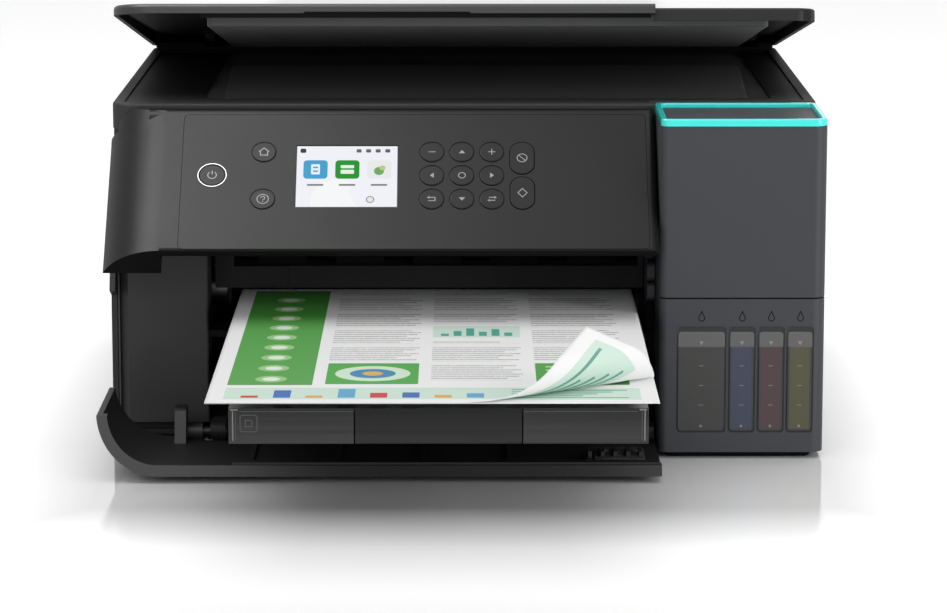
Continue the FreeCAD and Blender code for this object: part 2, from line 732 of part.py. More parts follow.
def document_cover():
    left = [(-half_width, lid_front, 22), (step_x, lid_front), (step_x, lid_rear), (-half_width, lid_rear, 12)]
    right = [(step_x - 5, lid_front_right), (half_width, lid_front_right, 12), (half_width, lid_rear, 12),
             (step_x - 5, lid_rear)]
    shell_left = plate(left, "z", lid_low, lid_high)
    shell_left = softened(shell_left, 2.2, lambda e: at_level(lid_high)(e) and e.BoundBox.XMin < step_x - 1)
    shell_right = plate(right, "z", lid_low, lid_high_right)
    shell_right = softened(shell_right, 1.6, lambda e: at_level(lid_high_right)(e)
                           and e.BoundBox.XMax > step_x + 1)
    body = joined([shell_left, shell_right])
    w = half_width - wall
    room_left = [(-w, lid_front + wall, 19.5), (step_x - wall, lid_front + wall), (step_x - wall, lid_rear - wall),
                 (-w, lid_rear - wall, 9.5)]
    room_right = [(step_x - wall - 1, lid_front_right + wall), (w, lid_front_right + wall, 9.5),
                  (w, lid_rear - wall, 9.5), (step_x - wall - 1, lid_rear - wall)]
    cuts = [plate(room_left, "z", lid_low - 1, lid_high - 2), plate(room_right, "z", lid_low - 1, lid_high_right - 1.7)]
    cuts.append(block(-200, 200, lid_axis_y - 6, 345, 170, lid_axis_z + 0.3))
    cuts.append(block(-160, -140, lid_axis_y - 6, 345, 170, lid_high - 2.5))
    cuts.append(block(160, 180, lid_axis_y - 6, 345, 170, 184))
    # the skirt thins towards the front, where a shallow notch takes the fingers
    thin = [(lid_front - 1, lid_low - 2), (lid_axis_y - 6, lid_low - 2), (lid_axis_y - 6, lid_low), (lid_front - 1, lid_lip)]
    cuts.append(plate(thin, "x", -half_width - 1, step_x + 0.1))
    cuts.append(block(-85, 3, lid_front - 1, lid_front + wall + 1, lid_low - 1, lid_lip + 0.8))
    body = less(body, cuts)
    parts = [body]
    for n in range(6):
        x = -130 + 42 * n
        parts.append(block(x, x + 2, lid_front + 20, lid_rear - 14, 184, lid_high - 1.5))
    parts.append(block(-156, -144, 286, lid_axis_y - 8, 184, lid_high - 1.5))
    parts.append(block(-142, step_x - 1, 91, 93, 181.5, lid_high - 1.5))
    return turned(joined(parts), lid_axis_y, lid_axis_z, lid_rest)


def document_mat():
    body = plate(frame(-138.5, 163.5, 95, 305, 3), "z", mat_low, mat_high)
    return turned(body, lid_axis_y, lid_axis_z, lid_rest)


def lid_hinges():
    arms = []
    for x in (-153.5, 166.5):
        parts = [plate([(x, 290, 2), (x + 7, 290, 2), (x + 7, lid_axis_y), (x, lid_axis_y)], "z", 181.4, 184)]
        parts.append(rod_x(lid_axis_y, lid_axis_z, lid_knuckle, x, x + 7))
        parts.append(rod_x(lid_axis_y, lid_axis_z, lid_pin, x - 4.2, x + 11.2))
        for y in (296, 312):
            parts.append(rod_z(x + 3.5, y, 2.4, 180.4, 181.5))
        arm = joined(parts)
        arm = less(arm, [block(x - 5, x + 12, lid_axis_y - 9, lid_axis_y + 5, 183.65, 186)])
        arms.append(turned(arm, lid_axis_y, lid_axis_z, lid_rest))
    return Part.makeCompound(arms)


def set_panel(shape):
    # local Y goes into the slab, local Z up its face, the rod at (nose, 0)
    shape.translate(V(0, panel_pivot_y - panel_nose, panel_pivot_z))
    return turned(shape, panel_pivot_y, panel_pivot_z, panel_rest)


def panel_shell():
    low = -panel_length
    d = panel_depth
    # the slab is a thin lip below and thickens upwards to hold the keys' board
    side = [(0, 0), (0, low, 2), (panel_lip, low, 2), (panel_lip, low + 15, 3), (d, low + 34, 6), (d, -26, 10),
            (2 * panel_nose, 0)]
    main = plate(side, "x", panel_bend_x, panel_right)
    nose = rod_x(panel_nose, 0, panel_nose, panel_bend_x - 9, panel_right)
    r = panel_bend_r
    across = math.sqrt(r ** 2 - (r - d) ** 2)
    mid = math.acos((r - d) / r) / 2
    start = V(panel_bend_x, 0, low)
    bend = Part.Wire([
        Part.Arc(start, V(panel_bend_x - r * math.sin(mid), r - r * math.cos(mid), low),
                 V(panel_bend_x - across, d, low)).toShape(),
        Part.makeLine(V(panel_bend_x - across, d, low), V(panel_bend_x, d, low)),
        Part.makeLine(V(panel_bend_x, d, low), start)])
    corner = Part.Face(bend).extrude(V(0, 0, panel_length - 3))
    slope = plate([(panel_bend_x - 60, -14), (panel_bend_x - 9, 3), (panel_bend_x - 9, 20), (panel_bend_x - 60, 20)],
                  "y", -5, 40)
    hollow = [(face_thick, -5), (face_thick, low + 17), (panel_lip + 1, low + 20), (d - wall, low + 36.5),
              (d - wall, -27), (10.5, -5)]
    round_end = less(block(panel_right - end_round, panel_right + 1, -1, end_round, low - 1, 10),
                     [rod_z(panel_right - end_round, end_round, end_round, low - 2, 11)])
    body = less(joined([main, nose, corner]), [round_end])
    cuts = [slope.common(block(-260, panel_bend_x, -6, 41, -20, 21)),
            plate(frame(face_left, face_right, low + 1, -1, 3), "y", -1, face_thick),
            plate(hollow, "x", face_left + 4, panel_right - 5),
            block(panel_bend_x - 16, panel_bend_x - 1, 6, d + 1, low + 5, -10)]
    pins = []
    for x0, x1 in arm_places:
        cuts.append(block(x0 - slide_gap, x1 + slide_gap, face_thick, d + 2, -36, 8))
        pins.append(rod_x(panel_nose, 0, arm_pin, x0 - 2, x1 + 2))
    return set_panel(joined([less(body, cuts)] + pins))


def panel_face():
    low = -panel_length
    body = plate(frame(face_left + 0.2, face_right - 0.2, low + 1.2, -1.2, 2.8), "y", 0, face_thick)
    cuts = []
    for x, v in round_keys():
        cuts.append(rod_y(x, -v, key_radius + key_gap, -1, 4))
    cuts.append(rod_y(power_at[0], -power_at[1], ring_out + 0.05, -1, 4))
    for x, v in tall_keys():
        cuts.append(plate(tall_outline(x, v, key_gap), "y", -1, 4))
    x0, x1, v0, v1 = screen_box
    cuts.append(block(x0, x1, -1, 4, -v1, -v0))
    return set_panel(less(body, cuts))


def round_keys():
    spots = [(-104.8, key_rows[0]), (-104.6, key_rows[2])]
    for v in key_rows:
        for x in key_cols:
            spots.append((x, v))
    return spots


def tall_keys():
    return [(30.0, 29.8), (30.0, 52.4)]


def tall_outline(x, v, extra):
    r = 6.2 + extra
    h = 10.3 + extra
    return frame(x - r, x + r, -v - h, -v + h, r - 0.05)


def round_button(x, v, radius):
    crown = Part.makeCone(radius - 0.4, radius, 0.4, V(x, -key_proud, -v), V(0, 1, 0))
    stem = rod_y(x, -v, radius, 0.4 - key_proud, 2.6)
    flange = rod_y(x, -v, radius + 0.9, 2.6, 3.6)
    return set_panel(joined([crown, stem, flange]))


def tall_button(x, v):
    stem = plate(tall_outline(x, v, 0), "y", -key_proud, 2.6)
    flange = plate(tall_outline(x, v, 0.7), "y", 2.6, 3.6)
    return set_panel(joined([stem, flange]))


def power_light():
    x, v = power_at
    ring = less(rod_y(x, -v, ring_out, -0.2, 3.2), [rod_y(x, -v, ring_in, -2, 4)])
    return set_panel(ring)


def power_button():
    x, v = power_at
    parts = [rod_y(x, -v, ring_in - key_gap, -0.2, 3.6), rod_y(x, -v, ring_in + 0.4, 3.6, 4.6)]
    return set_panel(joined(parts))


def display_screen():
    x0, x1, v0, v1 = screen_box
    parts = [block(x0 + 0.2, x1 - 0.2, 0.4, 2.2, 0.2 - v1, -0.2 - v0),
             block(x0 - 3, x1 + 3, face_thick, 6, -v1 - 3, 3 - v0)]
    return set_panel(joined(parts))


def bent_wall(outer, inner, z0, z1):
    # the door's plan: a flat run that turns the left corner
    cx = -half_width + door_bend
    cy = door_front + door_bend
    r0 = door_bend - outer
    r1 = door_bend - inner
    end0 = math.asin((cy - wrap_end) / r0)
    end1 = math.asin((cy - wrap_end) / r1)

    def spot(r, a):
        return V(cx - r * math.cos(a), cy - r * math.sin(a), z0)

    quarter = math.pi / 2
    wire = Part.Wire([
        Part.makeLine(V(door_right, cy - r0, z0), spot(r0, quarter)),
        Part.Arc(spot(r0, quarter), spot(r0, (quarter + end0) / 2), spot(r0, end0)).toShape(),
        Part.makeLine(spot(r0, end0), spot(r1, end1)),
        Part.Arc(spot(r1, end1), spot(r1, (quarter + end1) / 2), spot(r1, quarter)).toShape(),
        Part.makeLine(spot(r1, quarter), V(door_right, cy - r1, z0)),
        Part.makeLine(V(door_right, cy - r1, z0), V(door_right, cy - r0, z0))])
    return Part.Face(wire).extrude(V(0, 0, z1 - z0))


def front_door():
    skin = bent_wall(0, door_thick, door_low, door_high + 5)
    rim = bent_wall(0, 5.4, 66, door_high + 5)
    drop = math.tan(math.radians(panel_shut))
    above = [(10, door_high + 7 * drop), (60, door_high - 43 * drop), (60, 130), (10, 130)]
    below = [(10, door_high - 6 + 7 * drop), (60, door_high - 6 - 43 * drop), (60, 20), (10, 20)]
    rim = less(rim, [plate(below, "x", -200, 110)])
    y = door_axis_y
    z = door_axis_z
    parts = [skin, rim, block(-118, 99, 20, 23.6, 80, 86)]
    inside = door_front + door_thick
    bracket = [(inside, 8), (38, 8, 4), (38, 20, 4), (inside, 26)]
    parts.append(plate(bracket, "x", -152, -146))
    parts.append(rod_x(y, z, lug_radius, -152, -138))
    parts.append(rod_x(y, z, door_pin, -140, -125.4))
    parts.append(block(95.8, 99.6, inside - 1, y, 6.6, z + lug_radius))
    parts.append(rod_x(y, z, lug_radius, 95.8, 99.6))
    parts.append(rod_x(y, z, door_pin, 87.6, 97))
    # ribbed catch near the free edge
    parts.append(block(62, 92, inside - 1, 23, 56, 78))
    for n in range(5):
        parts.append(block(63 + 6.5 * n, 65 + 6.5 * n, inside, 26.5, 58, 74))
    for n in range(4):
        parts.append(block(-110 + 44 * n, -108 + 44 * n, inside - 1, 22, 24, 84))
    body = joined(parts)
    cuts = [plate(above, "x", -200, 110)]
    cuts += [block(x0, x1, 10, y - door_pin - 0.3, 0, 20) for x0, x1 in ((-137.8, -124.6), (86.6, 95.8))]
    body = less(body, cuts)
    return turned(body, y, z, -90)


def output_tray():
    z1 = tray_top
    parts = [plate([(tray_left, tray_front, 6), (tray_right, tray_front, 6), (tray_right, tray_rear),
                    (tray_left, tray_rear)], "z", z1 - 2, z1)]
    for x in (tray_left, tray_right - 2):
        parts.append(block(x, x + 2, tray_front + 6, tray_rear, 60, z1))
    parts.append(block(tray_left, reach_left + 2, tray_front + 6, tray_rear, 66, 67.8))
    parts.append(block(reach_right - 2, tray_right, tray_front + 6, tray_rear, 66, 67.8))
    for n in range(7):
        x = -106 + 30 * n
        parts.append(block(x, x + 2, tray_front + 12, tray_rear, z1, z1 + 0.6))
    body = joined(parts)
    notch = rod_z((tray_left + tray_right) / 2, tray_front - 18, 40, z1 - 5, z1 + 5)
    return less(body, [notch])


def tray_reach():
    z1 = reach_top
    plank = plate([(reach_left, reach_front, 5), (reach_right, reach_front, 5), (reach_right, reach_rear, 3),
                   (reach_left, reach_rear, 3)], "z", z1 - 2.2, z1)
    front = less(block(reach_left, reach_right, reach_front, reach_front + 3, reach_low, z1),
                 [block(tip_left, tip_right, reach_front - 1, reach_front + 4, reach_low - 1, z1 + 1)])
    plank = less(plank, [block(tip_left, tip_right, reach_front - 1, reach_front + 3.6, z1 - 5, z1 + 1)])
    parts = [plank, front]
    for x in (reach_left, reach_right - 2):
        parts.append(block(x, x + 2, reach_front, reach_front + 26, reach_low, z1))
    for x in (tip_left - 2.5, tip_right + 0.5):
        parts.append(block(x, x + 2, reach_front + 2, reach_rear, 60, z1 - 1))
    body = joined(parts)
    wedge = [(reach_front + 3.2, reach_low - 1), (reach_front + 27, reach_low - 1), (reach_front + 27, 67.8)]
    return less(body, [plate(wedge, "x", reach_left - 1, tip_left - 8),
                       plate(wedge, "x", tip_right + 8, reach_right + 1)])


def tray_tip():
    x0 = tip_left + slide_gap
    x1 = tip_right - slide_gap
    front = block(x0, x1, reach_front, reach_front + 3, reach_low, reach_top)
    tongue = plate([(x0, reach_front + 1), (x1, reach_front + 1), (x1, -118, 8), (x0, -118, 8)], "z", 64, 66)
    ribs = [block(x, x + 1.6, reach_front + 2, -126, 60.5, 65) for x in (-40, -13, 14)]
    return joined([front, tongue] + ribs)


def paper_cassette():
    floor = plate(frame(cas_left, cas_right, cas_front, cas_rear, 3), "z", cas_low, cas_low + 2)
    shell = less(plate(frame(cas_left, cas_right, cas_front, cas_rear, 3), "z", cas_low, 46),
                 [plate(frame(cas_left + 2.5, cas_right - 2.5, cas_front + 3, cas_rear - 2.5, 2), "z",
                        cas_low + 2, 50),
                  block(cas_left + 20, cas_right - 20, cas_rear - 4, cas_rear + 2, 36, 50)])
    parts = [shell, floor]
    for x in (-118, 89.4):
        parts.append(block(x, x + 1.6, 70, 300, cas_low, 40))
    for n in range(4):
        parts.append(block(-90 + 45 * n, -88 + 45 * n, 60, 310, cas_low, cas_low + 3))
    body = joined(parts)
    grip = [block(-45, 15, cas_front - 1, cas_front + 1.5, 24, 38),
            block(-60, 30, 110, 250, cas_low - 1, cas_low + 1)]
    return less(body, grip)


def printed_sheets():
    rear = sheet_front + sheet_length
    t = sheet_thick
    lower = block(sheet_left, sheet_right, sheet_front, rear, sheet_z, sheet_z + t)
    z = sheet_z + t + 0.1
    a = V(31.5, sheet_front, z)
    b = V(sheet_right, -117.0, z)
    flat = plate([(sheet_left, sheet_front), (a.x, a.y), (b.x, b.y), (sheet_right, rear), (sheet_left, rear)],
                 "z", z, z + t)
    # the front right corner curls up along the line a to b
    r = 30.0
    along = b.sub(a)
    length = along.Length
    reach = math.radians(97)
    foot = (sheet_right - a.x) * along.x / length

    def spot(radius, angle):
        return V(0, -radius * math.sin(angle), r - radius * math.cos(angle))

    wire = Part.Wire([
        Part.Arc(spot(r, 0), spot(r, reach / 2), spot(r, reach)).toShape(),
        Part.makeLine(spot(r, reach), spot(r - t, reach)),
        Part.Arc(spot(r - t, reach), spot(r - t, reach / 2), spot(r - t, 0)).toShape(),
        Part.makeLine(spot(r - t, 0), spot(r, 0))])
    strip = Part.Face(wire).extrude(V(length, 0, 0))
    # the sheet's two straight edges wind round the curl, so the knife's sides follow them
    steps = [reach * n / 6 for n in range(7)]
    rising = [(foot * t / reach, r * (1 - math.cos(t)) + n) for n, t in zip((0, 0, 0, 0, 0, 0, 1), steps)]
    falling = [(length - (length - foot) * t / reach, r * (1 - math.cos(t))) for t in reversed(steps[:-1])]
    knife = plate(rising + falling, "y", -2 * r, r)
    curl = strip.common(knife)
    curl.rotate(V(0, 0, 0), V(0, 0, 1), math.degrees(math.atan2(along.y, along.x)))
    curl.translate(a)
    return Part.makeCompound([lower, joined([flat, curl])])


def save(name, shape):
    shape.translate(V(0, -origin_y, 0))
    shape.exportStep("parts/" + name + ".step")


def build():
    os.makedirs("parts", exist_ok=True)
    makers = [base_pan, rubber_feet, outer_case, front_frame, inner_guide, platen, carriage_rail, carriage_belt,
              carriage_motor, drive_pulley, print_carriage, cap_station, feed_roller, exit_roller, feed_gear,
              feed_motor, pickup_roller, main_board, power_supply, rear_cover, tank_case, ink_tanks, tank_hood,
              tank_rim, scanner_bezel, scanner_base, scanner_glass, scan_carriage, document_cover, document_mat,
              lid_hinges, panel_shell, panel_face, power_light, power_button, display_screen, front_door,
              output_tray, tray_reach, tray_tip, paper_cassette, printed_sheets]
    for maker in makers:
        save(maker.__name__, maker())
    for name, x in zip(("black", "cyan", "magenta", "yellow"), ports):
        save("tank_cap_" + name, tank_cap(x))
    names = ["home_button", "help_button", "key_minus", "key_up", "key_plus", "key_left", "key_enter", "key_right",
             "key_return", "key_down", "key_swap"]
    for name, spot in zip(names, round_keys()):
        save(name, round_button(spot[0], spot[1], key_radius))
    for name, spot in zip(("stop_button", "start_button"), tall_keys()):
        save(name, tall_button(spot[0], spot[1]))


build()
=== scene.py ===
import bpy
import bmesh
import json
import math
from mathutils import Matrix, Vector

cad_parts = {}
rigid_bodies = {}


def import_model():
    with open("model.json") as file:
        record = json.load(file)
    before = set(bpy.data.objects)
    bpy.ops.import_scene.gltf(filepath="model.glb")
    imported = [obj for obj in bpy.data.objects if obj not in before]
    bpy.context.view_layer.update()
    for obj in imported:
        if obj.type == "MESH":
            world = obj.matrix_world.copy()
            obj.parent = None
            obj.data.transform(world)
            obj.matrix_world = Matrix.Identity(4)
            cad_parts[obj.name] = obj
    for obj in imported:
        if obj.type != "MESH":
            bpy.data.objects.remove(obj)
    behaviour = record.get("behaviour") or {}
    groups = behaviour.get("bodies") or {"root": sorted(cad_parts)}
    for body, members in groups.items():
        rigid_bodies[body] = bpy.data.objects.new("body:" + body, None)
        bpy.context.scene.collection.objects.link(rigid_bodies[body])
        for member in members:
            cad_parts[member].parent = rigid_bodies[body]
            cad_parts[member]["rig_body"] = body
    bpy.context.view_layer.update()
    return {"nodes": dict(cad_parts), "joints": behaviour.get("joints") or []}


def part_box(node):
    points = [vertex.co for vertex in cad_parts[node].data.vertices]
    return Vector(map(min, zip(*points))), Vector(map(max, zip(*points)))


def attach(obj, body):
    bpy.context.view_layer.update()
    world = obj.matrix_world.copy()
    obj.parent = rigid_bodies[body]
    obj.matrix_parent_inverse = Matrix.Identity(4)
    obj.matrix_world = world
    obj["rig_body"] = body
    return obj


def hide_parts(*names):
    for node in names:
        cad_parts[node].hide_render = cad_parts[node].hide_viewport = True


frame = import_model()
nodes = frame["nodes"]
scene = bpy.context.scene
scene.view_settings.view_transform = "Standard"
mm = 0.001


def boxOf(node):
    # a node's lowest and highest corners at rest, in mm
    return [Vector(corner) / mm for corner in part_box(node)]


# a shader socket that can be added, scaled and compared

class Value:
    def __init__(self, tree, socket=None):
        self.tree = tree
        self.socket = socket

    def node(self, kind, settings=None, inputs=None, out=0):
        made = self.tree.nodes.new("ShaderNode" + kind)
        for key, value in (settings or {}).items():
            setattr(made, key, value)
        for key, value in (inputs or {}).items():
            if isinstance(value, Value):
                self.tree.links.new(value.socket, made.inputs[key])
            else:
                made.inputs[key].default_value = value
        return Value(self.tree, made.outputs[out])

    def math(self, operation, first, second=0.0):
        return self.node("Math", {"operation": operation}, {0: first, 1: second})

    def __add__(self, other):
        return self.math("ADD", self, other)

    def __radd__(self, other):
        return self.math("ADD", other, self)

    def __sub__(self, other):
        return self.math("SUBTRACT", self, other)

    def __rsub__(self, other):
        return self.math("SUBTRACT", other, self)

    def __mul__(self, other):
        return self.math("MULTIPLY", self, other)

    def __rmul__(self, other):
        return self.math("MULTIPLY", other, self)

    def __truediv__(self, other):
        return self.math("DIVIDE", self, other)

    def __rtruediv__(self, other):
        return self.math("DIVIDE", other, self)

    def __mod__(self, other):
        return self.math("FLOORED_MODULO", self, other)

    def __rmod__(self, other):
        return self.math("FLOORED_MODULO", other, self)

    def __gt__(self, other):
        return self.math("GREATER_THAN", self, other)

    def __lt__(self, other):
        return self.math("LESS_THAN", self, other)

    def __abs__(self):
        return self.math("ABSOLUTE", self)

    def floor(self):
        return self.math("FLOOR", self)

    def atLeast(self, other):
        return self.math("MAXIMUM", self, other)

    def parts(self):
        split = self.node("SeparateXYZ", {}, {0: self}).socket.node
        return [Value(self.tree, output) for output in split.outputs]

    def over(self, under, colour):
        # lays a colour on what is under it, self being the cover from 0 to 1
        return self.node("Mix", {"data_type": "RGBA"}, {0: self, 6: under, 7: (*colour, 1)}, 2)

    def between(self, low, high, start=0.0, end=1.0):
        # carries the value from the span start..end to low..high, held at both ends
        return self.node("MapRange", {}, {0: self, 1: start, 2: end, 3: low, 4: high})


def grey(level):
    return (level, level, level)


def plain(name, colour, roughness, **more):
    made = bpy.data.materials.new(name)
    made.use_nodes = True
    shader = made.node_tree.nodes["Principled BSDF"]
    shader.inputs["Base Color"].default_value = (*colour, 1)
    shader.inputs["Roughness"].default_value = roughness
    for key, value in more.items():
        shader.inputs[key.replace("_", " ").title().replace("Ior", "IOR")].default_value = value
    return made, Value(made.node_tree), shader


def feed(value, shader, name):
    value.tree.links.new(value.socket, shader.inputs[name])


moulded = {"fine": 2.0, "rough": 0.6, "lift": 0.00012, "drift": 14.0, "slow": 3.0,
           "glossier": 0.05, "duller": 0.06}


def grained(name, colour, roughness, grain=1500, depth=0.12, fade=None, **more):
    # moulded plastic: a fine even grain, and a slow drift in sheen
    made, tools, shader = plain(name, colour, roughness, **more)
    place = tools.node("TexCoord", out=3)
    fine = tools.node("TexNoise", {}, {"Vector": place, "Scale": grain, "Detail": moulded["fine"],
                                       "Roughness": moulded["rough"]})
    slow = tools.node("TexNoise", {}, {"Vector": place, "Scale": moulded["drift"], "Detail": moulded["slow"]})
    if fade:
        # the colour goes over to another one along Y, between two depths in metres
        other, start, end = fade
        along = place.parts()[1].between(0.0, 1.0, start, end)
        feed(along.over((*colour, 1), other), shader, "Base Color")
    sheen = slow.between(roughness - moulded["glossier"], roughness + moulded["duller"])
    bump = tools.node("Bump", {}, {"Strength": depth, "Distance": moulded["lift"], "Height": fine})
    feed(sheen, shader, "Roughness")
    feed(bump, shader, "Normal")
    return made


blackCase = grained("black_case", grey(0.012), 0.46, specular_ior_level=0.4)
doorSkin = grained("door_skin", grey(0.027), 0.46, specular_ior_level=0.4)
doorInner = grained("door_inner", grey(0.010), 0.5, specular_ior_level=0.2)
# a lighter grey for the strip beside the pillar: a painted highlight on the bevel there
edgeHighlightSkin = grained("edge_highlight_skin", grey(0.05), 0.4)
blackInner = grained("black_inner", grey(0.008), 0.6, specular_ior_level=0.25)
guideSkin = grained("guide_skin", grey(0.020), 0.6, specular_ior_level=0.2)
pillarSkin = grained("pillar_skin", grey(0.030), 0.5, specular_ior_level=0.35)
darkSkin = grained("dark_skin", grey(0.003), 0.7, specular_ior_level=0.1)
panelSkin = grained("panel_skin", grey(0.006), 0.40, 1900, 0.08, specular_ior_level=0.16)
keySkin = grained("key_skin", grey(0.005), 0.38, 1900, 0.06, specular_ior_level=0.16)
tankGrey = (0.041, 0.043, 0.049)
tankSkin = grained("tank_skin", tankGrey, 0.5, 900, 0.3, specular_ior_level=0.4)
lidSkin = grained("lid_skin", grey(0.031), 0.42, fade=(grey(0.012), 0.010, 0.022), specular_ior_level=0.4)
lidSide = grained("lid_side", grey(0.013), 0.45, specular_ior_level=0.25)
lidInner = grained("lid_inner", grey(0.015), 0.6, specular_ior_level=0.12)
# the scanner bezel goes from grey at the front to near black towards the hinge: painted shade
bezelShadedSkin = grained("bezel_shaded_skin", grey(0.055), 0.55, fade=(grey(0.003), 0.0, 0.05), specular_ior_level=0.08)
matSkin = grained("mat_skin", grey(0.22), 0.6, 800, 0.1)
# a darker copy of the mat's grey for its front faces: painted shade
matFrontShade = grained("mat_front_shade", grey(0.10), 0.6, 800, 0.1)
rubber = grained("rubber", grey(0.014), 0.75)
steel = grained("steel", grey(0.42), 0.32, 700, 0.05, metallic=1.0)
acetal = grained("acetal", (0.72, 0.72, 0.68), 0.4)
boardSkin = grained("board_skin", (0.01, 0.09, 0.04), 0.4)
glassSkin = plain("glass_skin", grey(0.15), 0.06, specular_ior_level=0.5)[0]
# the teal rim plastic with a faint teal glow added: painted light, the rim is no lamp
tealGlowSkin = plain("teal_glow_skin", (0.035, 0.82, 0.76), 0.2, coat_weight=0.6, coat_roughness=0.05,
                 emission_color=(0.02, 0.60, 0.55, 1), emission_strength=0.08)[0]
frosted = grained("frosted", (0.085, 0.085, 0.083), 0.4)
capSkin = grained("cap_skin", grey(0.06), 0.55)
print("materials ready")


# smooth copies of the CAD shapes with their edges rounded off
# flat, sharp and crease are angles in degrees, room is in radii
softEdge = {"weld": 1e-6, "flat": 0.6, "sharp": 30, "crease": 34, "room": 2.2, "segments": 2}


def faceReach(face, edge):
    # how far a face spreads from one of its edges
    start, end = (vert.co for vert in edge.verts)
    widest = max((vert.co - start).cross(end - start).length for vert in face.verts)
    return widest / max(edge.calc_length(), 1e-9)


def roomy(edge, radius):
    # an edge sharp enough to round off, between faces wide enough for it
    if len(edge.link_faces) != 2 or edge.calc_face_angle(0) < math.radians(softEdge["sharp"]):
        return False
    return all(faceReach(face, edge) >= softEdge["room"] * radius * mm for face in edge.link_faces)


def markCreases(work):
    for edge in work.edges:
        bend = edge.calc_face_angle(0)
        edge.smooth = len(edge.link_faces) == 2 and bend < math.radians(softEdge["crease"])


def softCopy(node, material, radius, patches=()):
    # patches give other materials to the faces that their tests choose
    mesh = nodes[node].data.copy()
    mesh.name = node + "_skin"
    mesh.materials.clear()
    for skin in [material] + [other for other, chosen in patches]:
        mesh.materials.append(skin)
    work = bmesh.new()
    work.from_mesh(mesh)
    bmesh.ops.remove_doubles(work, verts=work.verts, dist=softEdge["weld"])
    bmesh.ops.dissolve_limit(work, angle_limit=math.radians(softEdge["flat"]), verts=work.verts,
                             edges=work.edges)
    sharp = [edge for edge in work.edges if roomy(edge, radius)]
    bmesh.ops.bevel(work, geom=sharp, offset=radius * mm, offset_type="OFFSET", profile=0.5, affect="EDGES",
                    segments=softEdge["segments"], clamp_overlap=True, harden_normals=False)
    work.normal_update()
    for face in work.faces:
        face.smooth = True
        face.material_index = 0
        for n, (other, chosen) in enumerate(patches):
            if chosen(face):
                face.material_index = n + 1
    markCreases(work)
    work.to_mesh(mesh)
    work.free()
    made = bpy.data.objects.new(node + "_skin", mesh)
    scene.collection.objects.link(made)
    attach(made, nodes[node]["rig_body"])
    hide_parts(node)
    made.modifiers.new("weighted", "WEIGHTED_NORMAL").keep_sharp = True


def dress(node, material):
    target = nodes[node].data
    target.materials.clear()
    target.materials.append(material)


shells = {
    "outer_case": (blackCase, 0.8), "base_pan": (blackInner, 0.5),
    "output_tray": (blackInner, 0.4), "scanner_base": (blackCase, 0.5),
    "scanner_bezel": (bezelShadedSkin, 0.5),
    "panel_face": (panelSkin, 0.15), "tank_case": (tankSkin, 0.5),
    "tank_hood": (tankSkin, 0.5), "tank_rim": (tealGlowSkin, 0.4), "paper_cassette": (blackInner, 0.5),
    "rear_cover": (blackCase, 0.5), "inner_guide": (guideSkin, 0.3), "power_supply": (blackInner, 0.4),
}
for node, (material, radius) in shells.items():
    softCopy(node, material, radius)

# where second colours start, in metres, and how far a face has to lean to take one
patch = {"lidFront": 0.0125, "lidRear": 0.268, "lidSide": 0.184, "lidStep": 0.1, "doorRim": -0.1195,
         "mouthLeft": -0.135, "tabLeft": 0.092, "tabFoot": 0.072,
         "panelUnder": 0.75, "lidUp": 0.5, "doorUp": 0.55, "doorRight": 0.3, "matFront": -0.5}


def panelUnderShade(face):
    # the underside of the sloping panel, which takes a near-black skin: painted shade
    return face.normal.dot(Vector((0, -1, -1)).normalized()) > patch["panelUnder"]


def inLid(face):
    # the hollow of the cover, behind its front lip and between its outer sides
    middle = face.calc_center_median()
    within = patch["lidFront"] < middle.y < patch["lidRear"] and abs(middle.x) < patch["lidSide"]
    return within and face.normal.z < patch["lidUp"]


def rightOfLid(face):
    # the lower step of the cover, at its right
    return face.calc_center_median().x > patch["lidStep"]


def inDoor(face):
    # the hollow of the dropped door, behind its front rim
    leans = face.normal.z > patch["doorUp"] or face.normal.x > patch["doorRight"]
    return face.calc_center_median().y > patch["doorRim"] and leans


def mouthInShade(face):
    # the bars of the front frame and its right post, which take a near-black skin: painted shade
    return face.calc_center_median().x > patch["mouthLeft"]


def onTab(face):
    # the small tabs beside the tanks, on the right post
    middle = face.calc_center_median()
    return middle.x > patch["tabLeft"] and middle.z > patch["tabFoot"]


# the front faces of the mat, which take a darker copy of its grey: painted shade
def facesFront(face):
    return face.normal.y < patch["matFront"]


softCopy("front_frame", pillarSkin, 0.5, [(darkSkin, mouthInShade), (tankSkin, onTab)])
softCopy("front_door", doorSkin, 0.6, [(doorInner, inDoor)])
softCopy("document_mat", matSkin, 1.2, [(matFrontShade, facesFront)])
softCopy("panel_shell", panelSkin, 0.5, [(darkSkin, panelUnderShade)])
softCopy("document_cover", lidSkin, 0.5, [(lidSide, rightOfLid), (lidInner, inLid)])
asDrawn = {
    "rubber_feet": rubber, "platen": blackInner, "carriage_rail": steel, "carriage_belt": rubber,
    "carriage_motor": steel, "drive_pulley": acetal, "print_carriage": blackInner, "cap_station": blackInner,
    "feed_roller": rubber, "exit_roller": rubber, "feed_gear": acetal, "feed_motor": steel,
    "pickup_roller": rubber, "main_board": boardSkin, "scanner_glass": glassSkin, "scan_carriage": blackInner,
    "lid_hinges": blackInner, "ink_tanks": frosted,
}
for node, material in asDrawn.items():
    dress(node, material)
for ink in ("black", "cyan", "magenta", "yellow"):
    dress("tank_cap_" + ink, capSkin)
print("shells ready")


# outlines in mm

def arc(x, y, r, start, end, steps=20):
    turn = [math.radians(start + (end - start) * n / steps) for n in range(steps + 1)]
    return [(x + r * math.cos(t), y + r * math.sin(t)) for t in turn]


def circle(x, y, r):
    return arc(x, y, r, 0, 345, 23)


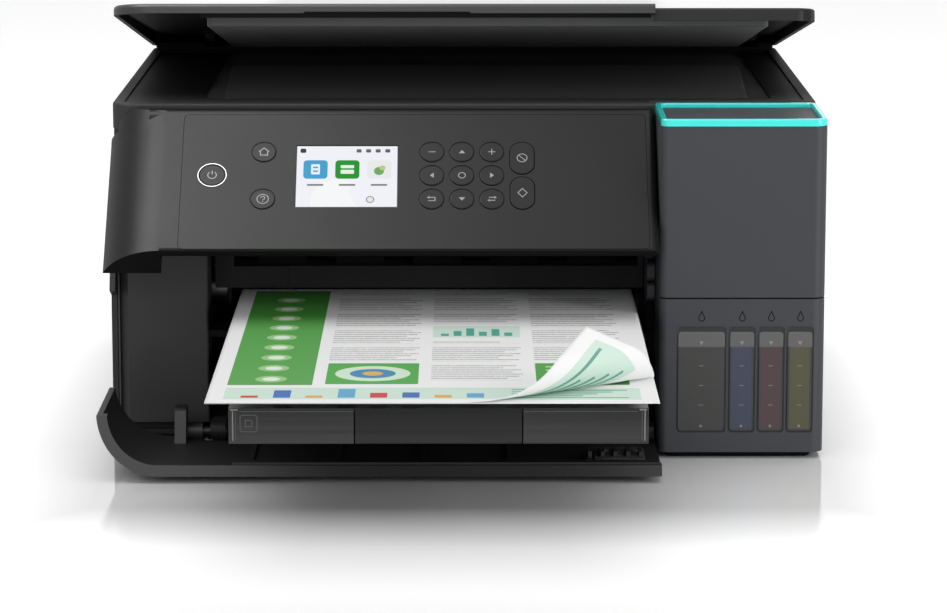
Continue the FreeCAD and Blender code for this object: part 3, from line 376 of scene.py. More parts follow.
def roundBox(x0, x1, y0, y1, r, inset=0.0):
    x0, x1, y0, y1 = x0 + inset, x1 - inset, y0 + inset, y1 - inset
    r = max(r - inset, 0.05)
    points = arc(x0 + r, y0 + r, r, 180, 270, 5) + arc(x1 - r, y0 + r, r, 270, 360, 5)
    return points + arc(x1 - r, y1 - r, r, 0, 90, 5) + arc(x0 + r, y1 - r, r, 90, 180, 5)


def bar(x0, y0, x1, y1, width):
    along = Vector((x1 - x0, y1 - y0))
    side = Vector((-along.y, along.x)).normalized() * width / 2
    a, b = Vector((x0, y0)), Vector((x1, y1))
    return [tuple(a - side), tuple(b - side), tuple(b + side), tuple(a + side)]


def chain(points, width):
    # quads along the points, mitred where the line turns, and joined up where its two ends meet
    spots = [Vector(point) for point in points]
    runs = [(b - a).normalized() for a, b in zip(spots, spots[1:])]
    sides = [Vector((-run.y, run.x)) for run in runs]
    meets = (spots[0] - spots[-1]).length < 1e-6
    before = [sides[-1] if meets else sides[0]] + sides
    after = sides + [sides[0] if meets else sides[-1]]
    offs = [(a + b) / (1 + a.dot(b)) * width / 2 for a, b in zip(before, after)]
    left = [tuple(spot + off) for spot, off in zip(spots, offs)]
    right = [tuple(spot - off) for spot, off in zip(spots, offs)]
    return [[right[n], right[n + 1], left[n + 1], left[n]] for n in range(len(runs))]


# pieces made from outlines

def setDown(name, work, material, body):
    mesh = bpy.data.meshes.new(name)
    work.to_mesh(mesh)
    work.free()
    mesh.materials.append(material)
    made = bpy.data.objects.new(name, mesh)
    scene.collection.objects.link(made)
    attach(made, body)
    return made


def stitch(work, loops):
    # faces over both ends of a row of loops, and bands from loop to loop
    work.faces.new(loops[0])
    work.faces.new(loops[-1])
    bands = []
    for low, high in zip(loops, loops[1:]):
        for n in range(len(low)):
            m = (n + 1) % len(low)
            bands.append(work.faces.new([low[n], low[m], high[m], high[n]]))
    bmesh.ops.recalc_face_normals(work, faces=work.faces)
    return bands


def prism(name, outline, levels, place, material, body):
    # outline(inset) gives the points for each (inset, level), and place(a, b, level) sets one down
    work = bmesh.new()
    loops = []
    for inset, level in levels:
        loops.append([work.verts.new(place(a, b, level) * mm) for a, b in outline(inset)])
    stitch(work, loops)
    setDown(name, work, material, body)


def onX(a, b, level):
    return Vector((level, a, b))


def onY(a, b, level):
    return Vector((a, level, b))


def onZ(a, b, level):
    return Vector((a, b, level))


marking = {"thick": 0.04, "weld": 1e-7}


def flatPiece(name, outlines, place, material, body):
    # thin flat figures, each a list of outlines, set down in metres by place(x, y) and thick behind it
    work = bmesh.new()
    for outline in outlines:
        work.faces.new([work.verts.new(place(x, y)) for x, y in outline])
    bmesh.ops.remove_doubles(work, verts=work.verts, dist=marking["weld"])
    ahead = (place(1, 0) - place(0, 0)).cross(place(0, 1) - place(0, 0))
    for face in work.faces:
        face.normal_update()
        if face.normal.dot(ahead) < 0:
            face.normal_flip()
    made = setDown(name, work, material, body)
    made.modifiers.new("thick", "SOLIDIFY").thickness = marking["thick"] * mm
    return made


# the barrel behind the cover, round the axis that the cover turns on
coverAxis = next(joint["pos_m"] for joint in frame["joints"] if joint["name"] == "cover_lift")
barrel = {"y": coverAxis[1] / mm, "z": coverAxis[2] / mm, "radius": 4.2,
          "levels": [(0.8, -186.0), (0, -185.0), (0, 185.0), (0.8, 186.0)]}
prism("hinge_barrel", lambda inset: circle(barrel["y"], barrel["z"], barrel["radius"] - inset),
      barrel["levels"], onX, darkSkin, "lid")

# small mouldings that close gaps: corner under the scanner, a lighter strip by the pillar as a painted
# highlight, a near-black plate that hides the floor in the gap under the front as painted shade, and a
# near-black slab under the tanks
fillers = {
    "scanner_corner": {"box": (-187.0, -176.0, 2.0, 14.0), "corner": 3.0, "skin": blackCase,
                       "levels": [(0.6, 154.0), (0, 154.6), (0, 166.0), (0.6, 166.4)], "body": "scanner"},
    "pillar_edge": {"box": (-184.4, -183.1, -19.4, -8.0), "corner": 0.6, "skin": edgeHighlightSkin,
                    "levels": [(0.2, 12.0), (0, 12.4), (0, 103.0), (0.2, 103.4)], "body": "chassis"},
    "front_skirt": {"box": (-146.0, -96.0, -44.0, -38.0), "corner": 1.0, "skin": darkSkin,
                    "levels": [(0.4, 0.8), (0, 1.2), (0, 3.3), (0.4, 3.6)], "body": "chassis"},
    "tank_foot": {"box": (104.0, 181.0, -63.0, 0.0), "corner": 4.0, "skin": darkSkin,
                  "levels": [(1.2, 0.4), (0, 1.6), (0, 3.2), (0.2, 3.4)], "body": "chassis"},
}
for name, its in fillers.items():
    prism(name, lambda inset: roundBox(*its["box"], its["corner"], inset), its["levels"], onZ, its["skin"],
          its["body"])


# the smoky drawn-out part of the tray, paler towards its foot

smoky = {"high": (0.004, 0.004, 0.004), "low": (0.030, 0.030, 0.031), "top": 0.0708, "foot": 0.0570,
         "roughness": 0.24, "stretch": (9.0, 9.0, 500.0), "streaks": (0.55, 1.25, 0.3, 0.7)}


def smokyPlastic(name, share, shine):
    made, tools, shader = plain(name, smoky["low"], smoky["roughness"], specular_ior_level=shine)
    place = tools.node("TexCoord", out=3)
    stretched = tools.node("Mapping", {}, {"Vector": place, "Scale": smoky["stretch"]})
    streak = tools.node("TexNoise", {}, {"Vector": stretched, "Scale": 1.0, "Detail": 2.0})
    fall = place.parts()[2].between(0.0, share, smoky["top"], smoky["foot"])
    fall = fall * streak.between(*smoky["streaks"])
    feed(fall.over((*smoky["high"], 1), smoky["low"]), shader, "Base Color")
    return made


softCopy("tray_reach", smokyPlastic("smoky_skin", 1.0, 0.4), 0.5)
softCopy("tray_tip", smokyPlastic("smoky_tip", 0.6, 0.25), 0.4)
glintSkin = plain("glint_skin", grey(0.20), 0.3)[0]
dimSkin = plain("dim_skin", grey(0.065), 0.4)[0]

# painted highlights along the clear edges at both ends of the tray's front and short ones at its top corners,
# thin lines, and a square in a round-cornered one
# edges, lips, lines and ends: how far in from the left and the right end; besideTip: off the pull-out
trayFront = {"proud": 0.06, "foot": 55.4, "top": 69.4, "edges": (1.9, 1.7), "lips": (0.8, 4.2), "lip": 70.1,
             "lipLong": 3.4, "lines": (3.2, 3.0), "lineTop": 69.2, "ends": (5.0, 5.0), "line": 69.3,
             "besideTip": (0.7, 0.8),
             "inner": (-101.6, -98.6, 62.2, 65.1), "outer": (-104.0, -96.2, 59.7, 67.6, 1.2)}
trayStroke = {"edge": 0.55, "lip": 0.7, "square": 0.4, "line": 0.3}
reachLow, reachHigh = boxOf("tray_reach")
tipLow, tipHigh = boxOf("tray_tip")


def onReach(x, z):
    return onY(x, z, reachLow.y - trayFront["proud"]) * mm


def fromEnds(name):
    inLeft, inRight = trayFront[name]
    return reachLow.x + inLeft, reachHigh.x - inRight


foot, line = trayFront["foot"], trayFront["line"]
edges = [bar(x, foot, x, trayFront["top"], trayStroke["edge"]) for x in fromEnds("edges")]
for x in fromEnds("lips"):
    edges.append(bar(x, trayFront["lip"], x + trayFront["lipLong"], trayFront["lip"], trayStroke["lip"]))
flatPiece("tray_edge_glints", edges, onReach, glintSkin, "reach")
outer = roundBox(*trayFront["outer"])
x0, x1, z0, z1 = trayFront["inner"]
mould = chain(outer + outer[:1], trayStroke["square"])
mould += chain([(x0, z0), (x1, z0), (x1, z1), (x0, z1), (x0, z0)], trayStroke["square"])
mould += [bar(x, foot, x, trayFront["lineTop"], trayStroke["line"]) for x in fromEnds("lines")]
lineStart, lineEnd = fromEnds("ends")
offLeft, offRight = trayFront["besideTip"]
mould += [bar(lineStart, line, tipLow.x - offLeft, line, trayStroke["line"]),
          bar(tipHigh.x + offRight, line, lineEnd, line, trayStroke["line"])]
flatPiece("tray_mould_lines", mould, onReach, dimSkin, "reach")


# the catch let into the door, near its right end

# each bar and glint: from and to, across from the middle, then how far off the axis, and its stroke
catch = {"left": 66.0, "right": 92.0, "front": -113.0, "rear": -84.0, "corner": 2.0, "floor": 9.4,
         "axis": -98.0, "boss": 3.0, "bossIn": 4.5, "diamond": 7.0, "diamondStroke": 0.8,
         "bars": ((-9.0, 9.0, -11.0, 0.6), (-2.5, 2.5, 0.0, 3.0)), "barRise": 1.1,
         "glints": ((-8.0, 4.0, -14.6, 0.5), (-0.8, 0.8, -8.0, 1.0)), "glintRise": 1.15,
         "plateLevels": [(0, 0.0), (0, 0.7), (0.4, 1.0)], "bossLevels": [(0, 0.8), (0, 2.2), (0.6, 2.8)]}
floor, axis, diamond = catch["floor"], catch["axis"], catch["diamond"]
middle = (catch["left"] + catch["right"]) / 2
plate = (catch["left"], catch["right"], catch["front"], catch["rear"], catch["corner"])
prism("catch_plate", lambda inset: roundBox(*plate, inset),
      [(inset, floor + rise) for inset, rise in catch["plateLevels"]], onZ, pillarSkin, "door")
for n, x in enumerate((catch["left"] + catch["bossIn"], catch["right"] - catch["bossIn"])):
    prism("catch_boss_%d" % n, lambda inset: circle(x, axis, catch["boss"] - inset),
          [(inset, floor + rise) for inset, rise in catch["bossLevels"]], onZ, pillarSkin, "door")


def catchBars(kind):
    return [bar(middle + x0, axis + off, middle + x1, axis + off, wide) for x0, x1, off, wide in catch[kind]]


lattice = chain([(middle - diamond, axis), (middle, axis - diamond), (middle + diamond, axis),
                 (middle, axis + diamond), (middle - diamond, axis)], catch["diamondStroke"])
flatPiece("catch_lattice", lattice + catchBars("bars"),
          lambda x, y: onZ(x, y, floor + catch["barRise"]) * mm, dimSkin, "door")
flatPiece("catch_glint", catchBars("glints"),
          lambda x, y: onZ(x, y, floor + catch["glintRise"]) * mm, glintSkin, "door")
print("tray ready")


# control panel: shoulder, keys, marks, lit ring and screen

slope = {"y": -16.743, "z": 175.243, "fall": math.sqrt(0.5)}


def onFace(x, v, lift):
    # a place on the sloping face: x to the right, v down the slope, lift off it, in mm
    y = slope["y"] - slope["fall"] * v - slope["fall"] * lift
    z = slope["z"] - slope["fall"] * v + slope["fall"] * lift
    return Vector((x, y, z)) * mm


def spotOf(node):
    # the x and v of a node's middle on the sloping face
    low, high = boxOf(node)
    middle = (low + high) / 2
    return middle.x, (slope["y"] + slope["z"] - middle.y - middle.z) * slope["fall"]


# the shoulder that carries the wrapped end up beside the scanner, as far as the swing leaves room
shoulder = {"bend": -157.0, "radius": 33.0, "proud": 0.1, "wall": 2.3, "foot": -9.0, "seat": -2.9,
            "level": 2.4, "pivot": 6.0, "clear": 7.2, "deep": 12.6, "low": -1.6, "turn": 66.5, "steps": 72,
            "start": 8, "round": 0.6, "ramp": 2.5, "sink": 0.06, "lap": 0.12}


def shoulderTop(depth):
    room = shoulder["clear"] ** 2 - (depth - shoulder["pivot"]) ** 2
    if depth > shoulder["deep"] or room < 0:
        return shoulder["low"]
    return min(depth + shoulder["level"], math.sqrt(room))


def panelShoulder():
    work = bmesh.new()
    radius, foot, seat, wall = (shoulder[size] for size in ("radius", "foot", "seat", "wall"))
    rings = []
    for n in range(shoulder["steps"] + 1):
        turn = math.radians(shoulder["turn"]) * n / shoulder["steps"]
        proud = shoulder["proud"] * min(n / shoulder["start"], 1.0)
        top = shoulderTop(radius * (1 - math.cos(turn)))
        section = [(-shoulder["sink"], foot), (proud, foot + shoulder["ramp"]),
                   (proud, top - shoulder["round"]), (proud - shoulder["round"], top),
                   (-wall, top), (-wall, seat), (-shoulder["lap"], seat)]
        ring = []
        for off, rise in section:
            x = shoulder["bend"] - (radius + off) * math.sin(turn)
            ring.append(work.verts.new(onFace(x, -rise, (radius + off) * math.cos(turn) - radius)))
        rings.append(ring)
    for face in stitch(work, rings):
        face.smooth = True
    markCreases(work)
    setDown("panel_shoulder", work, panelSkin, "panel")


panelShoulder()
markSkin = plain("mark_skin", grey(0.32), 0.5)[0]
stroke, thin, startStroke = 0.4, 0.35, 0.38
marks = {
    "home_button": chain([(-2.3, 0.1), (0, 2.1), (2.3, 0.1)], stroke)
    + chain([(-1.6, 0.3), (-1.6, -1.8), (1.6, -1.8), (1.6, 0.3)], stroke),
    "help_button": chain(arc(0, 0, 2.5, 0, 360), thin)
    + chain(arc(0, 0.5, 0.9, 180, -40, 8) + [(0, -0.7)], thin) + [bar(0, -1.2, 0, -1.6, stroke)],
    "stop_button": chain(arc(0, 0, 2.2, 0, 360), thin) + chain([(-1.5, 1.5), (1.5, -1.5)], thin),
    "start_button": chain([(0, 2.3), (2.0, 0), (0, -2.3), (-2.0, 0), (0, 2.3)], startStroke),
    "power_button": chain(arc(0, 0, 1.9, 128, 412), stroke) + [bar(0, 0.4, 0, 2.4, stroke)],
    "key_minus": [bar(-1.6, 0, 1.6, 0, stroke)],
    "key_up": [[(-1.4, -0.8), (1.4, -0.8), (0, 0.9)]],
    "key_plus": [bar(-1.6, 0, 1.6, 0, stroke), bar(0, -1.6, 0, 1.6, stroke)],
    "key_left": [[(0.8, -1.4), (0.8, 1.4), (-0.9, 0)]],
    "key_enter": chain(arc(0, 0, 1.5, 0, 360), stroke),
    "key_right": [[(-0.8, -1.4), (-0.8, 1.4), (0.9, 0)]],
    "key_return": chain([(-1.2, 0.8), (1.4, 0.8), (1.4, -1.0), (-1.6, -1.0)], stroke)
    + [[(-1.1, 0.1), (-1.1, 1.5), (-2.2, 0.8)]],
    "key_down": [[(-1.4, 0.8), (1.4, 0.8), (0, -0.9)]],
    "key_swap": chain([(-1.4, 0.8), (1.2, 0.8)], stroke) + [[(1.0, 0.1), (1.0, 1.5), (2.1, 0.8)]]
    + chain([(1.4, -0.8), (-1.2, -0.8)], stroke) + [[(-1.0, -0.1), (-1.0, -1.5), (-2.1, -0.8)]],
}
key = {"edge": 0.25, "scale": 1.18, "lift": 0.36, "powerLift": 0.26}
gap = {"radius": 6.63, "width": 0.40, "lift": -0.3,
       "without": ("stop_button", "start_button", "power_button")}
for name, mark in marks.items():
    x, v = spotOf(name)
    softCopy(name, keySkin, key["edge"])
    lift = key["powerLift"] if name == "power_button" else key["lift"]
    flatPiece(name + "_mark", mark, lambda a, b: onFace(x + key["scale"] * a, v - key["scale"] * b, lift),
              markSkin, name + "_body")
    if name not in gap["without"]:
        # the floor of the narrow gap round the key
        flatPiece(name + "_gap", chain(arc(0, 0, gap["radius"], 0, 360, 48), gap["width"]),
                  lambda a, b: onFace(x + a, v - b, gap["lift"]), panelSkin, "panel")

ring = {"radius": 7.35, "width": 0.42, "lift": 0.28}
ringSkin = plain("ring_skin", grey(0.9), 0.4, emission_color=(0.95, 0.96, 1.0, 1), emission_strength=0.6)[0]
dress("power_light", keySkin)
x, v = spotOf("power_light")
flatPiece("lit_ring", chain(arc(0, 0, ring["radius"], 0, 360, 72), ring["width"]),
          lambda a, b: onFace(x + a, v - b, ring["lift"]), ringSkin, "panel")


# figures drawn by a shader on a flat surface, place being its (across, up) in mm

def disc(place, x, y, r):
    dx, dy = place[0] - x, place[1] - y
    return dx * dx + dy * dy < r * r


def slab(place, x0, x1, y0, y1, r=0.0):
    # a filled box with rounded corners
    dx = (abs(place[0] - (x0 + x1) / 2) - ((x1 - x0) / 2 - r)).atLeast(0.0)
    dy = (abs(place[1] - (y0 + y1) / 2) - ((y1 - y0) / 2 - r)).atLeast(0.0)
    return dx * dx + dy * dy < (r + 0.0001) * (r + 0.0001)


def drawOn(place, under, figures):
    # lays each figure (shape, sizes, colour) on those before it
    for shape, sizes, colour in figures:
        under = shape(place, *sizes).over(under, colour)
    return under


# the screen: three tiles with bars, status dots and a soft backdrop, in mm from its lower left corner

screen = {"half": (26.7, 20.1), "edge": 0.5, "lift": -0.35, "glow": 0.92, "backdrop": (0.92, 0.93, 0.98)}
dots = {"lefts": (31.5, 36.5, 41.5, 46.5), "wide": 2.6, "rows": (35.6, 37.8), "corner": 0.6,
        "tint": grey(0.12)}
tiles = {"tints": {4.0: (0.05, 0.36, 0.64), 20.6: (0.006, 0.30, 0.018), 37.2: (0.86, 0.88, 0.88)},
         "wide": 12.6, "rows": (18.6, 30.6), "corner": 2.0,
         "barIn": 2.0, "barRows": (14.0, 15.2), "barCorner": 0.5, "barTint": grey(0.22)}
blueBar, greenBar = (0.05, 0.33, 0.70), (0.82, 0.96, 0.80)
glows = [(disc, (22, 4, 14), (0.97, 0.98, 1.0)), (disc, (44, 12, 16), (0.93, 0.94, 1.0))]
menuSquare = (slab, (2.2, 5.2, 35.4, 38.2, 0.8), grey(0.03))
icons = [
    (slab, (8.0, 12.6, 21.4, 28.0, 0.6), (0.85, 0.93, 1.0)),
    (slab, (9.0, 11.6, 23.0, 24.0, 0.2), blueBar), (slab, (9.0, 11.6, 25.4, 26.4, 0.2), blueBar),
    (slab, (23.4, 30.4, 21.8, 24.4, 0.5), greenBar), (slab, (23.4, 30.4, 25.4, 27.4, 0.5), greenBar),
    (disc, (43.4, 23.6, 2.6), (0.15, 0.42, 0.12)), (disc, (45.2, 25.6, 1.6), (0.55, 0.60, 0.25)),
    (disc, (39.0, 5.2, 2.2), grey(0.30)), (disc, (39.0, 5.2, 1.6), grey(0.86)),
]


def screenLook():
    made, tools, shader = plain("screen_skin", grey(0.0), 0.3, specular_ior_level=0.05)
    place = tools.node("UVMap").parts()[:2]
    figures = list(glows)
    for x in dots["lefts"]:
        figures.append((slab, (x, x + dots["wide"], *dots["rows"], dots["corner"]), dots["tint"]))
    figures.append(menuSquare)
    for x, tint in tiles["tints"].items():
        start, end = x + tiles["barIn"], x + tiles["wide"] - tiles["barIn"]
        figures += [(slab, (x, x + tiles["wide"], *tiles["rows"], tiles["corner"]), tint),
                    (slab, (start, end, *tiles["barRows"], tiles["barCorner"]), tiles["barTint"])]
    feed(drawOn(place, (*screen["backdrop"], 1), figures + icons), shader, "Emission Color")
    shader.inputs["Emission Strength"].default_value = screen["glow"]
    return made


def screenPicture():
    # one flat pane, its corners and its UV counted in mm from the screen's lower left corner
    x, v = spotOf("display_screen")
    wide, high = screen["half"]
    left, low, edge = x - wide, v + high, screen["edge"]
    right, top = 2 * wide - edge, 2 * high - edge
    made = flatPiece("screen_picture", [[(edge, edge), (right, edge), (right, top), (edge, top)]],
                     lambda a, b: onFace(left + a, low - b, screen["lift"]), screenLook(), "panel")
    layer = made.data.uv_layers.new(name="UVMap")
    for loop in made.data.loops:
        spot = made.data.vertices[loop.vertex_index].co / mm
        down = (slope["z"] + screen["lift"] * slope["fall"] - spot.z) / slope["fall"]
        layer.data[loop.index].uv = (spot.x - left, low - down)


dress("display_screen", grained("screen_frame", grey(0.02), 0.4))
screenPicture()
print("panel ready")


# frosted ink windows: tinted up to the ink level and pale above it, in thick clear walls

# back, front and notch are depths behind the front of the tank case, and the drop stands proud of it
window = {"low": 14.6, "high": 67.4, "level": 59.4, "rim": 1.15, "blur": 0.4, "foot": 1.2, "corner": 2.0,
          "back": 1.4, "front": 0.1, "bevel": (0.4, 0.35), "pale": grey(0.115),
          "notch": 0.8, "notchFoot": 67.6, "notchTop": 69.9, "notchIn": 0.2, "notchTopIn": 1.2}
gauge = {"full": (62.4, 60.3, 1.2), "least": (16.9, 18.5, 0.9), "lines": (49.4, 39.0, 28.6), "half": 1.2,
         "stroke": 0.3, "lift": 0.05}
drop = {"proud": 0.05, "z": 74.6, "radius": 1.5, "tip": 78.2, "stroke": 0.45}
tankFront = boxOf("tank_case")[0].y
inks = {
    "black": {"span": (110.6, 135.2), "tint": (0.044, 0.044, 0.043)},
    "cyan": {"span": (137.5, 150.4), "tint": (0.046, 0.054, 0.090)},
    "magenta": {"span": (152.6, 165.5), "tint": (0.070, 0.043, 0.048)},
    "yellow": {"span": (167.6, 180.6), "tint": (0.082, 0.079, 0.041)},
}
levelSkin = plain("level_skin", grey(0.24), 0.5)[0]


def paneLook(ink, tint, middle, half):
    made, tools, shader = plain("pane_" + ink, tint, 0.36, specular_ior_level=0.4)
    spot = tools.node("TexCoord", out=3).parts()
    across, up = spot[0], spot[2]
    inner, foot, level = half - window["rim"], window["low"] + window["foot"], window["level"]
    walls = abs(across - middle * mm).between(0.0, 1.0, (inner - window["blur"]) * mm, inner * mm)
    sill = up.between(1.0, 0.0, foot * mm, (foot + window["blur"]) * mm)
    colour = walls.atLeast(sill).over((*tint, 1), tankGrey)
    empty = up.between(0.0, 1.0, (level - window["blur"] / 2) * mm, (level + window["blur"] / 2) * mm)
    feed(empty.over(colour, window["pale"]), shader, "Base Color")
    return made


def inkWindow(ink, x0, x1, tint):
    # a pane, the dark notch over it, its level marks, and a plain drop above
    middle, half, front = (x0 + x1) / 2, (x1 - x0) / 2, tankFront + window["front"]
    box = (x0, x1, window["low"], window["high"], window["corner"])
    bevel, deep = window["bevel"]
    levels = [(0, tankFront + window["back"]), (0, front + deep), (bevel, front)]
    prism("pane_" + ink, lambda inset: roundBox(*box, inset), levels, onY, paneLook(ink, tint, middle, half),
          "chassis")
    low, top, wide, narrow = (window[size] for size in ("notchFoot", "notchTop", "notchIn", "notchTopIn"))
    flatPiece("notch_" + ink, [[(x0 + wide, low), (x1 - wide, low), (x1 - narrow, top), (x0 + narrow, top)]],
              lambda x, z: onY(x, z, tankFront + window["notch"]) * mm, pillarSkin, "chassis")
    figures = []
    for base, tip, wide in (gauge["full"], gauge["least"]):
        figures.append([(middle - wide, base), (middle + wide, base), (middle, tip)])
    for z in gauge["lines"]:
        figures.append(bar(middle - gauge["half"], z, middle + gauge["half"], z, gauge["stroke"]))
    flatPiece("level_marks_" + ink, figures, lambda x, z: onY(x, z, front - gauge["lift"]) * mm, levelSkin,
              "chassis")
    outline = arc(middle, drop["z"], drop["radius"], 150, 390, 16) + [(middle, drop["tip"])]
    flatPiece("drop_mark_" + ink, chain(outline + outline[:1], drop["stroke"]),
              lambda x, z: onY(x, z, tankFront - drop["proud"]) * mm, darkSkin, "chassis")


for ink, its in inks.items():
    inkWindow(ink, *its["span"], its["tint"])
print("ink ready")


# the two sheets on the tray, one with its front right corner curling up

sheet = {"width": 210.0, "length": 297.0, "rise": 0.12, "apart": 0.4, "thick": 0.16, "squares": (105, 150)}
sheetLow, sheetHigh = boxOf("printed_sheets")
sheetCorner = Vector((sheetLow.x, sheetHigh.y - sheet["length"]))  # front left
# the printed page, in mm from the sheet's front left corner
page = {"white": (0.86, 0.865, 0.86), "green": (0.055, 0.30, 0.035), "mint": (0.60, 0.76, 0.66),
        "ink": grey(0.12), "banner": (8, 202, 8, 34), "side": (8, 48, 40, 289),
        "columns": ((54, 98, 100, 285), (104, 148, 42, 150), (154, 198, 100, 285), (104, 148, 196, 285)),
        "row": 5.0, "stroke": 1.3, "passage": 45.0, "pause": 6.0, "ragged": 12.0, "shuffle": 0.618,
        "dashes": 0.37, "breaks": 0.16, "wander": 0.55, "sway": 3.0}
motifs = {"count": 9, "x": 28, "first": 54, "step": 26,
          "rings": ((7.5, (0.30, 0.55, 0.22)), (4.2, (0.75, 0.86, 0.72)))}
blocks = {"count": 8, "left": 16, "step": 15, "wide": 8, "low": 11, "least": 16, "corner": 0.5,
          "shuffle": (5, 7, 17),
          "tints": ((0.55, 0.03, 0.03), (0.03, 0.12, 0.42), (0.72, 0.36, 0.05), (0.10, 0.36, 0.60))}
notes = {"count": 5, "left": 142, "right": 196, "low": 12, "step": 4.2, "stroke": 1.6, "shuffle": (7, 3, 4),
         "tint": (0.12, 0.34, 0.28)}
badge = {"box": (54, 98, 42, 92, 1), "tint": (0.05, 0.34, 0.04), "middle": (76, 67),
         "rings": ((18, (0.64, 0.80, 0.62)), (11, (0.03, 0.22, 0.42)), (5, (0.75, 0.40, 0.06)))}
card = {"box": (154, 198, 42, 92, 1), "count": 5, "left": 159, "right": 192, "low": 50, "step": 8,
        "stroke": 2.5, "shuffle": (6, 1, 3), "tint": (0.55, 0.74, 0.48)}
chart = {"box": (104, 148, 158, 188, 1), "count": 6, "left": 108, "step": 6.4, "wide": 4, "low": 162,
         "least": 168, "corner": 0, "shuffle": (0, 7, 16), "tints": ((0.05, 0.33, 0.26),)}


def bars(its):
    # level bars one above the other, uneven at the right
    short, jump, kinds = its["shuffle"]
    made = []
    for n in range(its["count"]):
        end, low = its["right"] - short * (n * jump % kinds), its["low"] + its["step"] * n
        made.append((slab, (its["left"], end, low, low + its["stroke"]), its["tint"]))
    return made


def columns(its):
    # upright bars side by side, uneven at the top
    square, jump, spread = its["shuffle"]
    made = []
    for n in range(its["count"]):
        left, top = its["left"] + its["step"] * n, its["least"] + (square * n * n + jump * n) % spread
        made.append((slab, (left, left + its["wide"], its["low"], top, its["corner"]),
                     its["tints"][n % len(its["tints"])]))
    return made


def runningMatter(tools, place, under):
    # rows of short dashes in four columns, ragged at the right
    across, up = place
    wander = tools.node("TexNoise", {"noise_dimensions": "2D"},
                        {"Vector": tools.node("UVMap"), "Scale": page["wander"], "Detail": 0.0})
    dash = (across * page["dashes"] + wander * page["sway"]) % 1.0 > page["breaks"]
    rows = (up % page["row"] < page["stroke"]) * (up % page["passage"] > page["pause"])
    short = (up / page["row"]).floor() * page["shuffle"] % 1.0
    for x0, x1, y0, y1 in page["columns"]:
        ends = across < x1 - page["ragged"] * short * short
        under = (slab(place, x0, x1, y0, y1) * rows * dash * ends).over(under, page["ink"])
    return under


def paperLook():
    made, tools, shader = plain("paper_skin", grey(0.8), 0.62)
    place = tools.node("UVMap").parts()[:2]
    figures = [(slab, page["banner"], page["mint"]), (slab, page["side"], page["green"])]
    for n in range(motifs["count"]):
        up = motifs["first"] + motifs["step"] * n
        figures += [(disc, (motifs["x"], up, radius), tint) for radius, tint in motifs["rings"]]
    figures += columns(blocks) + bars(notes)
    printed = runningMatter(tools, place, drawOn(place, (*page["white"], 1), figures))
    figures = [(slab, badge["box"], badge["tint"])]
    figures += [(disc, (*badge["middle"], radius), tint) for radius, tint in badge["rings"]]
    figures += [(slab, card["box"], page["green"])] + bars(card)
    figures += [(slab, chart["box"], page["mint"])] + columns(chart)
    feed(drawOn(place, printed, figures), shader, "Base Color")
    return made


paperSkin = paperLook()
# the fold line runs from the front edge to the right one
fold = {"from": (113.0, 0.0), "to": (210.0, 68.0), "radius": 7.6, "ease": 31.0, "turn": 2.72, "step": 0.25,
        "reach": 140.0}


def foldTable():
    # how far out and up the sheet has come after each step past the fold line
    places, out, rise, angle = [(0.0, 0.0)], 0.0, 0.0, 0.0
    for n in range(int(fold["reach"] / fold["step"])):
        tight = min((n + 0.5) * fold["step"] / fold["ease"], 1.0) / fold["radius"]
        angle = min(angle + tight * fold["step"], fold["turn"])
        out += math.cos(angle) * fold["step"]
        rise += math.sin(angle) * fold["step"]
        places.append((out, rise))
    return places


def foldPlace(x, y, low, places):
    start, end = (sheetCorner + Vector(fold[spot]) for spot in ("from", "to"))
    way = (end - start).normalized()
    side = Vector((way.y, -way.x))
    past = (Vector((x, y)) - start).dot(side)
    if past <= 0:
        return Vector((x, y, low))
    n = int(past / fold["step"])
    share = past / fold["step"] - n
    out, rise = (a + (b - a) * share for a, b in zip(places[n], places[n + 1]))
    spot = Vector((x, y)) + side * (out - past)
    return Vector((spot.x, spot.y, low + rise))


def paper(name, low, folded):
    across, along = sheet["squares"] if folded else (2, 2)
    work = bmesh.new()
    layer = work.loops.layers.uv.new("UVMap")
    places = foldTable()
    rows = []
    flat = {}
    for j in range(along + 1):
        row = []
        for i in range(across + 1):
            u, w = sheet["width"] * i / across, sheet["length"] * j / along
            x, y = sheetCorner.x + u, sheetCorner.y + w
            spot = foldPlace(x, y, low, places) if folded else Vector((x, y, low))
            vert = work.verts.new(spot * mm)
            flat[vert] = (u, w)
            row.append(vert)
        rows.append(row)
    for near, far in zip(rows, rows[1:]):
        for i in range(across):
            face = work.faces.new([near[i], near[i + 1], far[i + 1], far[i]])
            face.smooth = True
            for loop in face.loops:
                loop[layer].uv = flat[loop.vert]
    made = setDown(name, work, paperSkin, "sheets")
    thick = made.modifiers.new("thick", "SOLIDIFY")
    thick.thickness = sheet["thick"] * mm
    thick.offset = 1.0
    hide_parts("printed_sheets")
    return made


bed = sheetLow.z + sheet["rise"]
lowerSheet = paper("lower_sheet", bed, False)
upperSheet = paper("upper_sheet", bed + sheet["apart"], True)
print("sheets ready")


# floor, lights and camera

# in metres; side, centre and half say where the object stands, and a ramp goes from low to high between two
# distances from it
ground = {"left": -9, "right": 9, "front": -6, "rear": 12, "white": 0.93, "shine": 0.7,
          "side": 0.187, "centre": 0.075, "half": 0.215,
          "besideRamp": (0.0, 0.34, -0.002, 0.05), "aheadRamp": (0.0, 0.46, 0.035, 0.115),
          "farRamp": (0.0, 0.27, 0.12, 0.22), "dullRamp": (0.06, 0.45, 0.02, 0.20)}


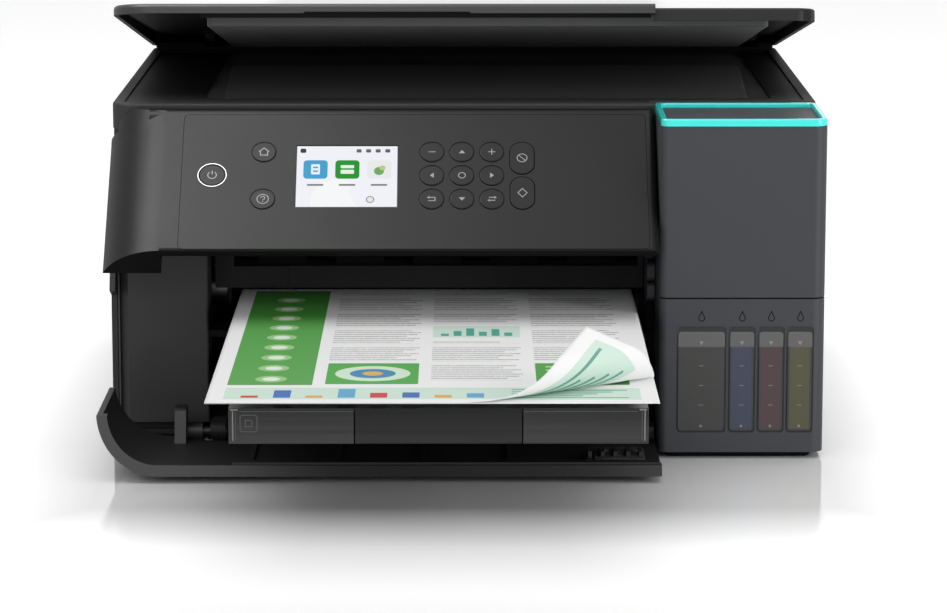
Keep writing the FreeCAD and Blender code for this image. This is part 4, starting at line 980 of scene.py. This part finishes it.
def stageFloor():
    x0, x1, y0, y1 = ground["left"], ground["right"], ground["front"], ground["rear"]
    mesh = bpy.data.meshes.new("floor")
    mesh.from_pydata([(x0, y0, 0), (x1, y0, 0), (x1, y1, 0), (x0, y1, 0)], [], [(0, 1, 2, 3)])
    made = bpy.data.objects.new("floor", mesh)
    scene.collection.objects.link(made)
    skin, tools, shader = plain("floor_skin", grey(ground["white"]), 0.08, specular_ior_level=ground["shine"])
    # painted light seen only by the camera: a glow that lifts the floor towards white away from the object,
    # most in a band just ahead of and behind it, and is left out next to it so the shadow round it stays
    across, along = tools.node("TexCoord", out=3).parts()[:2]
    aside = abs(across) - ground["side"]
    ahead = abs(along - ground["centre"]) - ground["half"]
    front = ahead.between(*ground["aheadRamp"]) - ahead.between(*ground["farRamp"])
    beside = aside.between(*ground["besideRamp"])
    glow = beside.atLeast(front) * tools.node("LightPath", out=0)
    feed(ahead.between(*ground["dullRamp"]), shader, "Roughness")
    feed(glow.over((0, 0, 0, 1), (1, 1, 1)), shader, "Emission Color")
    shader.inputs["Emission Strength"].default_value = 1.0
    mesh.materials.append(skin)


stageFloor()
lamps = {
    "top_soft": {"place": (0.0, 0.15, 1.9), "target": (0, 0.05, 0.1), "size": (2.4, 2.0), "power": 18},
    "front_soft": {"place": (-0.4, -2.2, 1.2), "target": (0, 0, 0.1), "size": (1.6, 1.0), "power": 10},
    "left_card": {"place": (-0.36, -0.15, 0.76), "target": (-0.15, -0.06, 0.15), "size": (0.4, 0.5),
                  "power": 6.5},
    "right_strip": {"place": (1.2, -0.9, 0.4), "target": (0.1, 0, 0.1), "size": (0.3, 0.9), "power": 7},
}
for name, its in lamps.items():
    data = bpy.data.lights.new(name, "AREA")
    data.shape = "RECTANGLE"
    data.size, data.size_y = its["size"]
    data.energy = its["power"]
    made = bpy.data.objects.new(name, data)
    made.location = its["place"]
    made.rotation_euler = (Vector(its["target"]) - Vector(its["place"])).to_track_quat("-Z", "Y").to_euler()
    scene.collection.objects.link(made)
bpy.data.objects["left_card"].visible_diffuse = False  # it only shows as a sheen on the panel's curve

sky = {"light": 0.42, "seen": 1.0}
world = bpy.data.worlds.new("studio")
scene.world = world
world.use_nodes = True
tools = Value(world.node_tree)
toCamera, glossy, through = (tools.node("LightPath", out=n) for n in (0, 3, 6))
back = world.node_tree.nodes["Background"]
back.inputs["Color"].default_value = (1, 1, 1, 1)
feed(toCamera.atLeast(glossy).atLeast(through).between(sky["light"], sky["seen"]), back, "Strength")

viewpoint = {"place": (0, -1.9106, 0.4212), "pitch": 10.46, "yaw": 0.142, "lens": 137.6,
             "sensor": 36.0, "far": 60.0}
view = bpy.data.cameras.new("view")
view.sensor_width = viewpoint["sensor"]
view.lens = viewpoint["lens"]
view.clip_end = viewpoint["far"]
camera = bpy.data.objects.new("view", view)
camera.location = viewpoint["place"]
camera.rotation_euler = (math.radians(90 - viewpoint["pitch"]), 0, math.radians(-viewpoint["yaw"]))
scene.collection.objects.link(camera)
scene.camera = camera
print("stage ready")
